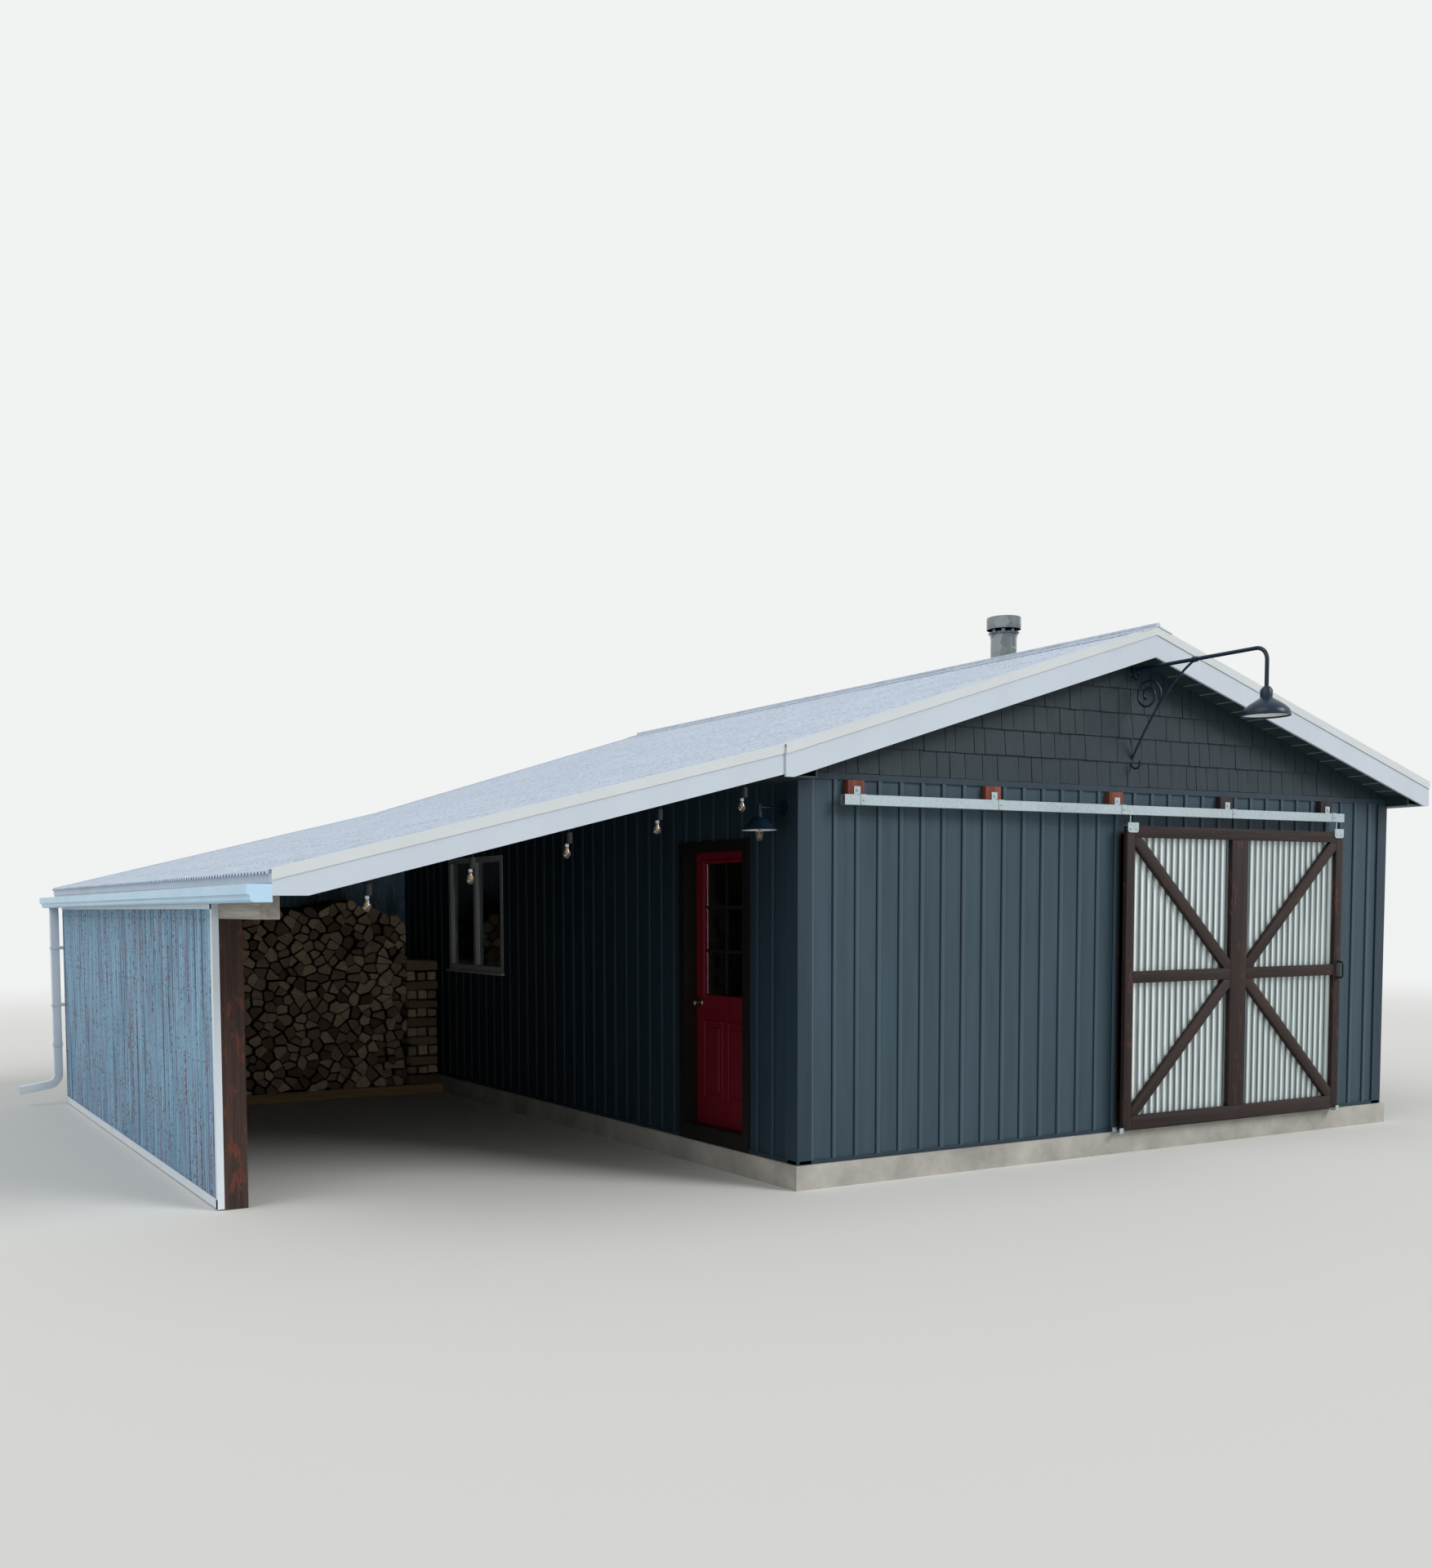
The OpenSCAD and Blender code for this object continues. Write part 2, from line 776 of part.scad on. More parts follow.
module woodpile_sill() {
    color("#b59a72")
    for (y = [wood_y1 - wood_d, wood_y1 - 140])
        block([wood_x0 - 10, y, 0], [xl - base_ledge - fit, y + sill_h, sill_h]);
}

module firewood_stack() {
    top = sill_h + wood_h;
    color("#8a6a4a")
    along_y(wood_y1 - wood_d + 20, wood_y1)
    polygon([[wood_x0, sill_h], [wood_x1, sill_h], [wood_x1, top - 120], [wood_x1 - 800, top - 60],
        [wood_x0 + 900, top], [wood_x0, top - 80]]);
}

// Chimney
flue_top = z_sheet + flue_rise;
flue_bottom = under_z(flue_x) - flue_drop;
pipe_top = flue_top - cap_skirt - vent_h;

module on_flue(z) {
    translate([flue_x, yf + flue_y, z]) children();
}

module chimney_pipe() {
    color("#c7ced4")
    on_flue(flue_bottom)
    difference() {
        cylinder(h = pipe_top - flue_bottom, r = flue_d / 2);
        translate([0, 0, -1]) cylinder(h = pipe_top - flue_bottom + 2, r = flue_d / 2 - flue_t);
    }
}

// Cap: a drum open below, on a slotted collar that sleeves the pipe and flares under the drum
module chimney_cap() {
    r = cap_d / 2;
    skin = 3;
    top = vent_h + cap_skirt;
    lid = top - skin;
    inner = flue_d / 2 + fit;
    outer = inner + skin;
    slot_z = 20;
    color("#8f989e")
    on_flue(pipe_top)
    difference() {
        rotate_extrude()
        polygon([[0, lid], [inner, lid], [inner, -24], [outer, -24], [outer, -8], [r - 14, 14], [r - 14, 17],
            [outer, 2], [outer, lid], [r - skin, lid], [r - skin, vent_h], [r, vent_h], [r, top - skin - 1],
            [r - skin - 2, top], [0, top]]);
        for (i = [0:7])
            rotate(22.5 + i * 45) translate([inner - 20, -30, slot_z]) cube([40, 60, vent_h]);
    }
}

// Flashing: a plate on the sheets, a cone round the pipe and a storm collar
module chimney_flashing() {
    half = flue_d / 2 + 110;
    x0 = flue_x - half;
    x1 = flue_x + half;
    plate_t = 3;
    cone_top = roof_z(x0) + 60;
    color("#a9b2b8")
    difference() {
        union() {
            along_y(yf + flue_y - half, yf + flue_y + half)
            polygon([[x0, seat_z(x0)], [x1, seat_z(x1)], [x1, seat_z(x1) + plate_t], [x0, seat_z(x0) + plate_t]]);
            on_flue(roof_z(x1))
            cylinder(h = cone_top - roof_z(x1), r1 = half - 30, r2 = flue_d / 2 + 6);
            on_flue(cone_top) cylinder(h = 14, r = flue_d / 2 + 6);
            on_flue(cone_top + 14) cylinder(h = 26, r1 = flue_d / 2 + 42, r2 = flue_d / 2 + 4);
        }
        flue_hole(flue_d / 2 + fit);
        along_y(yf + flue_y - half - 1, yf + flue_y + half + 1)
        polygon([[x0 - 1, seat_z(x0 - 1)], [x1 + 1, seat_z(x1 + 1)], [x1 + 1, z_belt], [x0 - 1, z_belt]]);
    }
}

// Window: outer frame, meeting stile and two panes
module window_frame() {
    y0 = yf + window_y;
    z0 = z_wall + window_z;
    pane_w = (window_w - 3 * window_bar) / 2;
    color("#c9cfd2")
    difference() {
        union() {
            block([xl - 6, y0, z0], [xl + 76, y0 + window_w, z0 + window_h]);
            block([xl - 34, y0 - 20, z0 - 22], [xl, y0 + window_w + 20, z0]);
        }
        for (i = [0, 1])
            translate([xl - 50, y0 + window_bar + i * (pane_w + window_bar), z0 + window_bar])
            cube([200, pane_w, window_h - 2 * window_bar]);
    }
}

module window_glass() {
    y0 = yf + window_y;
    z0 = z_wall + window_z;
    pane_w = (window_w - 3 * window_bar) / 2;
    color("#5c7480", 0.5)
    for (i = [0, 1])
        translate([xl + 30, y0 + window_bar + fit + i * (pane_w + window_bar), z0 + window_bar + fit])
        cube([5, pane_w - 2 * fit, window_h - 2 * window_bar - 2 * fit]);
}

// Entry door
module entry_door_frame() {
    stop = 14;
    color(timber)
    difference() {
        block([xl - 18, entry_y0, z_wall], [leaf_x1, entry_y1, z_wall + entry_frame_h]);
        block([leaf_x0 - 5, leaf_y0 - leaf_gap, leaf_z0 - leaf_gap],
            [leaf_x1 + 1, leaf_y1 + leaf_gap, leaf_z1 + leaf_gap]);
        block([xl - 40, leaf_y0 + stop, leaf_z0], [leaf_x0, leaf_y1 - stop, leaf_z1 - stop]);
    }
    color("#8a8f92")
    for (z = hinge_heights) {
        translate([hinge_x, hinge_y, z]) cylinder(h = 45, r = 7);
        block([leaf_x1, hinge_y - 40, z], [leaf_x1 + 2.5, hinge_y - 1, z + 45]);
        block([leaf_x1, hinge_y - 6, z], [hinge_x, hinge_y - 3, z + 45]);
    }
}

hinge_heights = [leaf_z0 + 180, (leaf_z0 + leaf_z1) / 2 - 45, leaf_z1 - 270];
lite_y0 = leaf_y0 + 130;
lite_y1 = leaf_y1 - 130;
lite_z1 = leaf_z1 - 150;
lite_z0 = lite_z1 - 900;

module entry_door_leaf() {
    color("#7a1420")
    difference() {
        block([leaf_x0, leaf_y0, leaf_z0], [leaf_x1, leaf_y1, leaf_z1]);
        block([leaf_x0 - 1, lite_y0, lite_z0], [leaf_x1 + 1, lite_y1, lite_z1]);
        for (i = [0, 1])
            translate([leaf_x0 - 1, leaf_y0 + 110 + i * (leaf_y1 - leaf_y0 - 160) / 2, leaf_z0 + 150])
            difference() {
                cube([8, (leaf_y1 - leaf_y0 - 280) / 2, 620]);
                translate([-1, 35, 35]) cube([12, (leaf_y1 - leaf_y0 - 280) / 2 - 70, 550]);
            }
    }
    color("#8a8f92")
    for (z = hinge_heights) {
        translate([hinge_x, hinge_y, z + 45 + fit]) cylinder(h = 45, r = 7);
        block([leaf_x1, hinge_y + 5, z + 45 + fit], [leaf_x1 + 2.5, hinge_y + 40, z + 90]);
        block([leaf_x1, hinge_y + 4, z + 45 + fit], [hinge_x, hinge_y + 6.5, z + 90]);
    }
}

module entry_door_glass() {
    mid = (leaf_x0 + leaf_x1) / 2;
    color("#5c7480", 0.5)
    block([mid - 6, lite_y0 + fit, lite_z0 + fit], [mid + 6, lite_y1 - fit, lite_z1 - fit]);
}

module entry_door_knob() {
    y = leaf_y1 - 65;
    z = base_h + 1010;
    color("#8a8378")
    for (side = [0, 1])
        translate([side == 0 ? leaf_x0 : leaf_x1, y, z])
        rotate([0, side == 0 ? -90 : 90, 0])
        rotate_extrude()
        polygon([[0, 0], [33, 0], [33, 4], [28, 9], [12, 11], [11, 30], [20, 38], [27, 50], [26, 60],
            [17, 68], [0, 70]]);
}

// Opening and track of the sliding door
module sliding_door_casing() {
    top = z_wall + opening_h;
    color(timber)
    difference() {
        block([open_x0 - casing_w, yf - casing_t, z_wall],
            [open_x1 + casing_w, yf, block_low - 5]);
        block([open_x0, yf - casing_t - 1, z_wall - 1], [open_x1, yf + 1, top]);
    }
}

module door_track() {
    inner = track_d - 2 * track_t;
    color(zinc)
    translate([track_x0, 0, 0])
    rotate([90, 0, 90])
    linear_extrude(track_x1 - track_x0)
    difference() {
        translate([track_y - track_d / 2, track_top - track_h]) square([track_d, track_h]);
        translate([track_y - inner / 2, track_top - track_h + track_t])
        square([inner, track_h - 2 * track_t]);
        translate([track_y - track_slot / 2, track_top - track_h - 1]) square([track_slot, track_t + 2]);
    }
}

// Wooden blocks, with an angle and a band that hold the track
module track_mounts() {
    first = track_x0 + block_w;
    step = (track_x1 - block_w - first) / (block_n - 1);
    band = 4;
    for (i = [0:block_n - 1])
        translate([first + i * step, 0, 0]) {
            color("#8a4530")
            block([-block_w / 2, yf - block_t, block_low], [block_w / 2, yf, block_low + block_w]);
            color(zinc) {
                block([-20, yf - block_t - 5, track_top], [35, yf - block_t, track_top + 60]);
                block([-20, track_y - track_d / 2 - band, track_top],
                    [35, yf - block_t, track_top + band]);
                for (side = [-1, 1]) {
                    y = track_y + side * (track_d + band) / 2;
                    block([-10, y - band / 2, track_top - track_h], [35, y + band / 2, track_top + band]);
                }
            }
        }
}

// Floor guides at the foot of the sliding door, fixed to the base and the casing
module door_guide() {
    lip = door_t / 2 + 8;
    beside = 60;
    color("#4b4f52")
    for (x = [open_x0 - beside, open_x1 + beside]) {
        block([x - 30, track_y - lip - 3, z_wall], [x + 30, yf - casing_t, z_wall + 6]);
        for (side = [-1, 1])
            block([x - 30, track_y + side * lip - 3, z_wall],
                [x + 30, track_y + side * lip + 3, z_wall + 60]);
    }
}

// Sliding door: frame boards, braces and corrugated panels
module sliding_door_frame() {
    color(timber)
    difference() {
        block([door_x0, door_y0, door_z0], [door_x1, board_y1, door_z1]);
        for (side = [0, 1]) for (level = [0, 1]) door_field(side, level, 0);
    }
}

field_w = (door_w - 2 * stile_w - mid_stile_w) / 2;
field_h = (door_h - 2 * rail_h - mid_rail_h) / 2;

// One of the four fields between the stiles and rails
module door_field(side, level, inset) {
    x = door_x0 + stile_w + side * (field_w + mid_stile_w);
    z = door_z0 + rail_h + level * (field_h + mid_rail_h);
    translate([x + inset, door_y0 - 1, z + inset])
    cube([field_w - 2 * inset, door_board_t + 2, field_h - 2 * inset]);
}

module sliding_door_braces() {
    centre_x = (door_x0 + door_x1) / 2;
    run = field_w + 60;
    rise = field_h + 60;
    angle = atan(rise / run);
    color(timber)
    intersection() {
        for (side = [-1, 1]) for (level = [-1, 1])
            translate([centre_x + side * (mid_stile_w + field_w) / 2, door_y0,
                door_mid + level * (mid_rail_h + field_h) / 2])
            rotate([0, -side * level * angle, 0])
            translate([-field_h, 0, -brace_w / 2])
            cube([2 * field_h, door_board_t, brace_w]);
        union() {
            for (side = [0, 1]) for (level = [0, 1]) door_field(side, level, fit);
        }
    }
}

module sliding_door_panels() {
    margin = 30;
    n = floor((door_w - 2 * margin) / corr_pitch);
    color("#c9d1d6")
    translate([(door_x0 + door_x1) / 2 - n * corr_pitch / 2, board_y1, door_z0 + margin])
    corrugated(n, door_h - 2 * margin, corr_pitch, panel_t, panel_sheet);
}

hanger_in = 80;
hanger_x = [door_x0 + hanger_in, door_x1 - hanger_in];

// Hangers: wheels in the track, a bolt down through its slot, a saddle on the door
module sliding_door_hangers() {
    axle_z = track_top - track_h + track_t + wheel_gap + wheel_d / 2;
    saddle = 5;
    color("#aab4ba")
    for (x = hanger_x) translate([x, track_y, 0]) {
        for (dx = [-34, 34]) {
            for (side = [-1, 1])
                translate([dx, side * 14 + 5, axle_z])
                rotate([90, 0, 0])
                cylinder(h = 10, r = wheel_d / 2);
            translate([dx, 14, axle_z]) rotate([90, 0, 0]) cylinder(h = 28, r = 5);
        }
        block([-44, -4, axle_z - 8], [44, 4, axle_z + 8]);
        translate([0, 0, door_z1]) cylinder(h = axle_z - door_z1, r = 6);
        translate([0, 0, door_z1 + saddle]) cylinder(h = 9, r = 11, $fn = 6);
        block([-48, -door_t / 2 - saddle, door_z1], [48, door_t / 2 + saddle, door_z1 + saddle]);
        block([-48, -door_t / 2 - saddle, door_z1 - 70], [48, -door_t / 2, door_z1 + saddle]);
    }
}

module sliding_door_pull() {
    x = door_x1 - stile_w / 2;
    z = door_z0 + 1180;
    color("#1b1b1c")
    translate([x, door_y0, z]) {
        for (dz = [-110, 110])
            translate([0, 0, dz]) rotate([90, 0, 0]) cylinder(h = 45, r = 9);
        translate([0, -45, -130]) cylinder(h = 260, r = 10);
        block([-18, -5, -140], [18, 0, 140]);
    }
}

// Gooseneck lamp on the gable
lamp_y = yf - lamp_reach;
lamp_head = z_under - 56;
lamp_foot = lamp_head - lamp_plate;
lamp_arm = lamp_head - 40;
brim_z = lamp_foot + 224;
bar_w = 12;

// A flat outline in Y and Z, given a thickness across the lamp
module across(w) {
    translate([-w / 2, 0, 0]) rotate([90, 0, 90]) linear_extrude(w) children();
}

module half_ring(r, upper) {
    reach = r + bar_w;
    intersection() {
        difference() {
            circle(r = r + bar_w / 2);
            circle(r = r - bar_w / 2);
        }
        translate([-reach, upper ? 0 : -reach]) square([2 * reach, reach]);
    }
}

// The volute between strut and wall: half rings that wind inwards
module volute(r, step) {
    for (i = [0:3])
        translate([i % 2 == 0 ? 0 : -step, 0]) half_ring(r - i * step, i % 2 == 0);
}

module lamp_scroll() {
    foot = [yf - 6, lamp_foot + 20];
    run = 640;
    rise = lamp_arm - lamp_foot - 20;
    slope = atan(rise / run);
    r = 108;
    along = 395;
    translate(foot) rotate(180 - slope) {
        translate([0, -bar_w / 2]) square([norm([run, rise]), bar_w]);
        translate([along, -r]) rotate(90) volute(r, 26);
    }
    hook = 22;
    translate([yf - hook - bar_w / 2 - fit, lamp_foot - 20]) half_ring(hook, false);
}

module shade(d, neck_h, rim_h) {
    r = d / 2;
    difference() {
        rotate_extrude()
        polygon([[0, 0], [r, 0], [r, rim_h], [r * 0.82, rim_h + 14], [r * 0.45, rim_h + 62],
            [r * 0.2, rim_h + 80], [r * 0.16, neck_h], [0, neck_h]]);
        rotate_extrude()
        polygon([[0, -1], [r - 3, -1], [r - 3, rim_h], [r * 0.82 - 3, rim_h + 11],
            [r * 0.45 - 3, rim_h + 58], [r * 0.16, rim_h + 66], [0, rim_h + 66]]);
    }
}

module gable_lamp() {
    pipe = 14;
    bend = 90;
    neck = 150;
    color("#1d2a33") {
        block([-14, yf - 8, lamp_foot - 20], [14, yf, lamp_head]);
        across(bar_w) lamp_scroll();
        translate([0, yf, lamp_arm])
        rotate([90, 0, 0])
        cylinder(h = lamp_reach - bend, r = pipe);
        translate([0, lamp_y + bend, lamp_arm - bend])
        rotate([0, -90, 0])
        rotate([0, 0, -90])
        rotate_extrude(angle = 90)
        translate([bend, 0]) circle(r = pipe);
        translate([0, lamp_y, brim_z + neck]) cylinder(h = lamp_arm - bend - brim_z - neck, r = pipe);
        translate([0, lamp_y, brim_z]) shade(lamp_shade_d, neck + 20, 10);
    }
}

wall_lamp_at = [xl - 200, yf + 160, base_h + 2220];

module wall_lamp() {
    arm = wall_lamp_at + [0, 0, 150];
    color("#1d2a33") {
        translate(wall_lamp_at) shade(wall_shade_d, 130, 6);
        translate(wall_lamp_at + [0, 0, 125]) cylinder(h = 45, r = 16);
        translate(arm) rotate([0, 90, 0]) cylinder(h = 200, r = 9);
        translate([xl - 12, arm.y, arm.z]) rotate([0, 90, 0]) cylinder(h = 12, r = 50);
    }
}

// A glass bulb that hangs down from its neck
module bulb(r, h) {
    rotate_extrude()
    polygon([[0, -h], [r * 0.7, r * 0.3 - h], [r, r - h], [r * 0.9, r * 1.6 - h], [r * 0.5, r * 2.6 - h],
        [r * 0.5, 0], [0, 0]]);
}

function string_x(i) = x_tip + 545 + i * string_step;
function string_z(i) = lean_z(string_x(i)) - lean_low;
string_y = yl + board_t + rafter_t / 2;
string_drop = 28;
socket_h = 62;

// Sockets of the row of bulbs, hung under the lean-to's first rafter
module string_sockets() {
    color("#1c1c1e")
    for (i = [0:string_n - 1])
        translate([string_x(i), string_y, string_z(i)]) {
            translate([0, 0, -string_drop]) cylinder(h = string_drop - lean_pitch * 4 - 0.1, r = 4);
            translate([0, 0, -string_drop - socket_h]) cylinder(h = socket_h, r = 18);
        }
}

module lamp_bulbs() {
    color("#f2e6c4") {
        translate(wall_lamp_at + [0, 0, 72 - fit]) bulb(30, 145);
        translate([0, lamp_y, brim_z + 76 - fit]) bulb(22, 72);
        for (i = [0:string_n - 1])
            translate([string_x(i), string_y, string_z(i) - string_drop - socket_h]) bulb(25, 88);
    }
}

floor_slab();
front_wall_left();
front_wall_right();
front_wall_over_door();
front_gable();
left_wall_front();
left_wall_over_door();
left_wall_back();
right_wall();
back_wall();
back_gable();
wall_trim();
roof_left();
roof_right();
roof_sheets();
ridge_cap();
front_fascia();
back_fascia();
right_eave_fascia();
eave_soffit();
lean_to_deck();
lean_to_sheet();
lean_to_rafters();
lean_to_fascia();
gutter();
downspout();
lean_to_beam();
lean_to_posts();
lean_to_wall_frame();
lean_to_wall_sheets();
lean_to_wall_trim();
lean_to_back_wall();
firewood_stack();
woodpile_sill();
chimney_pipe();
chimney_cap();
chimney_flashing();
window_frame();
window_glass();
entry_door_frame();
entry_door_leaf();
entry_door_glass();
entry_door_knob();
sliding_door_casing();
door_track();
track_mounts();
door_guide();
sliding_door_frame();
sliding_door_braces();
sliding_door_panels();
sliding_door_hangers();
sliding_door_pull();
gable_lamp();
wall_lamp();
string_sockets();
lamp_bulbs();
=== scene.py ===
import math
import random
from functools import partial

import bmesh
import bpy
from mathutils import Matrix, Vector


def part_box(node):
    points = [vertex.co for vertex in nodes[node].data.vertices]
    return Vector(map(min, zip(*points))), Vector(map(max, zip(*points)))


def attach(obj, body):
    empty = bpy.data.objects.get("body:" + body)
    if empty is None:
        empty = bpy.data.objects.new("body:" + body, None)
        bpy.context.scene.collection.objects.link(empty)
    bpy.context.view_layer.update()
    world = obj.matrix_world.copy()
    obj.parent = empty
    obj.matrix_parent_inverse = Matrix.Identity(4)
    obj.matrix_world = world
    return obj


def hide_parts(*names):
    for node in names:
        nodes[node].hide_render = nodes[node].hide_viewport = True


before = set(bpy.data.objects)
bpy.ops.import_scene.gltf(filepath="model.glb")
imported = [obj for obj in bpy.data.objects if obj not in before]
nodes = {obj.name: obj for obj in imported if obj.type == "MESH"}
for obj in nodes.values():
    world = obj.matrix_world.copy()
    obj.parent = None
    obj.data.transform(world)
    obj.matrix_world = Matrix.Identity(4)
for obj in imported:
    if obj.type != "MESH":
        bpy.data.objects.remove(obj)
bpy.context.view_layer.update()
dice = random.Random(11)

# Finishes


def tone(code):
    """A colour written as sRGB hex, as the linear value that a shader takes."""
    parts = [int(code[i : i + 2], 16) / 255 for i in (1, 3, 5)]
    return [p / 12.92 if p <= 0.04045 else ((p + 0.055) / 1.055) ** 2.4 for p in parts] + [1.0]


def plug(node, sockets):
    """Sets a node's inputs, by name or number, to a number, a hex colour, or what another node gives."""
    for key, value in sockets.items():
        if isinstance(value, bpy.types.Node):
            value = next(out for out in value.outputs if out.enabled)
        if isinstance(value, bpy.types.NodeSocket):
            node.id_data.links.new(value, node.inputs[key])
        else:
            node.inputs[key].default_value = tone(value) if isinstance(value, str) else value


# What a kind of node has unless a call says otherwise: a pattern takes its size in metres from its Mapping
usual_settings = {"Mapping": {"vector_type": "TEXTURE"}, "Mix": {"data_type": "RGBA"}}
usual_sockets = {"TexNoise": {"Scale": 1.0}}


def add(finish, kind, sockets=None, **settings):
    """One node of a finish, with its settings and its inputs."""
    node = finish.node_tree.nodes.new("ShaderNode" + kind)
    for key, value in {**usual_settings.get(kind, {}), **settings}.items():
        setattr(node, key, value)
    plug(node, {**usual_sockets.get(kind, {}), **(sockets or {})})
    return node


def begin(name, surface):
    """A new finish, its shader, the place on the piece in metres, and what adds a node to it."""
    finish = bpy.data.materials.new(name)
    finish.use_nodes = True
    shader = finish.node_tree.nodes["Principled BSDF"]
    plug(shader, surface)
    return finish, shader, add(finish, "TexCoord").outputs["Object"], partial(add, finish)


def coated(name, colour, soiled, streak=(0.05, 0.05, 0.8), amount=0.55, roughness=0.45,
        relief=(0.002, 0.002, 0.05), depth=0.0003):
    """A factory coating: even colour, faint run-off streaks, and a fine embossed relief."""
    finish, shader, place, node = begin(name, {"Specular IOR Level": 0.3})
    runs = node("Mapping", {"Vector": place, "Scale": streak})
    stain = node("TexNoise", {"Vector": runs, "Detail": 5.0, "Roughness": 0.6})
    share = node("MapRange", {"Value": stain, "From Min": 0.42, "From Max": 0.78, "To Max": amount})
    skin = node("Mix", {0: share, 6: colour, 7: soiled})
    gloss = node("MapRange", {"Value": stain, "To Min": roughness - 0.1, "To Max": roughness + 0.15})
    fine = node("Mapping", {"Vector": place, "Scale": relief})
    grain = node("TexNoise", {"Vector": fine, "Detail": 3.0})
    rise = node("Bump", {"Height": grain, "Strength": 0.6, "Distance": depth})
    plug(shader, {"Base Color": skin, "Roughness": gloss, "Normal": rise})
    return finish


def timber(name, early, late, turn=(0.0, 0.0, 0.0), spots=None, spot_share=0.62):
    """Sawn or stained boards: long fibres, wider figure under them, and weather marks where given."""
    finish, shader, place, node = begin(name, {"Specular IOR Level": 0.3})
    lie = {"Vector": place, "Rotation": turn}
    along = node("Mapping", {**lie, "Scale": (0.7, 0.012, 0.012)})
    fibre = node("TexNoise", {"Vector": along, "Detail": 6.0, "Roughness": 0.65, "Distortion": 0.6})
    broad = node("Mapping", {**lie, "Scale": (1.54, 0.072, 0.072)})
    figure = node("TexNoise", {"Vector": broad, "Detail": 3.0, "Distortion": 1.0})
    both = node("Math", {0: fibre, 1: figure}, operation="ADD")
    share = node("MapRange", {"Value": both, "From Min": 0.78, "From Max": 1.25})
    wood = node("Mix", {0: share, 6: early, 7: late})
    if spots:
        patch = node("Mapping", {**lie, "Scale": (0.16, 0.05, 0.05)})
        mark = node("TexNoise", {"Vector": patch, "Detail": 6.0, "Roughness": 0.7})
        edge = node("MapRange", {"Value": mark, "From Min": spot_share, "From Max": spot_share + 0.06})
        wood = node("Mix", {0: edge, 6: wood, 7: spots})
    matt = node("MapRange", {"Value": fibre, "To Min": 0.58, "To Max": 0.82})
    rise = node("Bump", {"Height": fibre, "Strength": 0.8, "Distance": 0.0012})
    plug(shader, {"Base Color": wood, "Roughness": matt, "Normal": rise})
    return finish


def bare_metal(name, colour, dull, roughness, spangle, metallic):
    """Bare or plated metal: its spangle in colour and gloss, and drawn lines along it."""
    finish, shader, place, node = begin(name, {"Metallic": metallic})
    flakes = node("TexVoronoi", {"Vector": place, "Scale": 1.0 / spangle})
    cloud = node("TexNoise", {"Vector": place, "Scale": 3.0, "Detail": 5.0})
    both = node("Math", {0: flakes.outputs["Color"], 1: cloud}, operation="MULTIPLY")
    share = node("MapRange", {"Value": both, "From Min": 0.1, "From Max": 0.45})
    skin = node("Mix", {0: share, 6: colour, 7: dull})
    gloss = node("MapRange", {"Value": both, "To Min": roughness - 0.08, "To Max": roughness + 0.2})
    lines = node("Mapping", {"Vector": place, "Scale": (0.3, 0.002, 0.002)})
    drawn = node("TexNoise", {"Vector": lines, "Detail": 2.0})
    rise = node("Bump", {"Height": drawn, "Strength": 0.4, "Distance": 0.0001})
    plug(shader, {"Base Color": skin, "Roughness": gloss, "Normal": rise})
    return finish


def cast_concrete(name):
    """Cast concrete: pale grey, blotched by damp, with sand grain."""
    finish, shader, place, node = begin(name, {"Roughness": 0.9})
    damp = node("TexNoise", {"Vector": place, "Scale": 2.2, "Detail": 7.0, "Roughness": 0.65})
    share = node("MapRange", {"Value": damp, "From Min": 0.35, "From Max": 0.7})
    skin = node("Mix", {0: share, 6: "#b9b6ae", 7: "#8f8d86"})
    sand = node("TexNoise", {"Vector": place, "Scale": 160.0, "Detail": 4.0})
    rise = node("Bump", {"Height": sand, "Strength": 0.7, "Distance": 0.0015})
    plug(shader, {"Base Color": skin, "Normal": rise})
    return finish


def rusted_sheet(name):
    """Old enamelled sheet: chalky blue, with violet-grey, slate and rusty runs down each rib."""
    finish, shader, place, node = begin(name, {"Metallic": 0.15})
    skin = "#719cb8"
    # Chalky patches, violet-grey lines, then slate ones
    for size, shift, detail, rough, start, full, most, colour in (
        ((0.05, 0.07, 0.9), (0.0, 0.0, 0.0), 5.0, 0.6, 0.35, 0.68, 1.0, "#98bfd6"),
        ((0.4, 0.018, 1.3), (0.0, 0.0, 0.0), 4.0, 0.7, 0.52, 0.6, 0.7, "#7d7995"),
        ((0.4, 0.013, 1.6), (3.0, 5.0, 1.0), 3.0, 0.6, 0.56, 0.63, 0.8, "#4a6b80"),
    ):
        run = node("Mapping", {"Vector": place, "Location": shift, "Scale": size})
        line = node("TexNoise", {"Vector": run, "Detail": detail, "Roughness": rough})
        share = node("MapRange", {"Value": line, "From Min": start, "From Max": full, "To Max": most})
        skin = node("Mix", {0: share, 6: skin, 7: colour})
    run = node("Mapping", {"Vector": place, "Scale": (0.4, 0.022, 1.1)})
    drip = node("TexNoise", {"Vector": run, "Detail": 7.0, "Roughness": 0.72})
    speck = node("TexNoise", {"Vector": place, "Scale": 38.0, "Detail": 4.0, "Roughness": 0.7})
    both = node("Math", {0: drip, 1: speck}, operation="ADD")
    share = node("MapRange", {"Value": both, "From Min": 1.06, "From Max": 1.18, "To Max": 0.9})
    skin = node("Mix", {0: share, 6: skin, 7: "#7c4f49"})
    matt = node("MapRange", {"Value": both, "From Min": 0.8, "From Max": 1.3, "To Min": 0.42, "To Max": 0.85})
    rise = node("Bump", {"Height": both, "Strength": 0.5, "Distance": 0.0006})
    plug(shader, {"Base Color": skin, "Roughness": matt, "Normal": rise})
    return finish


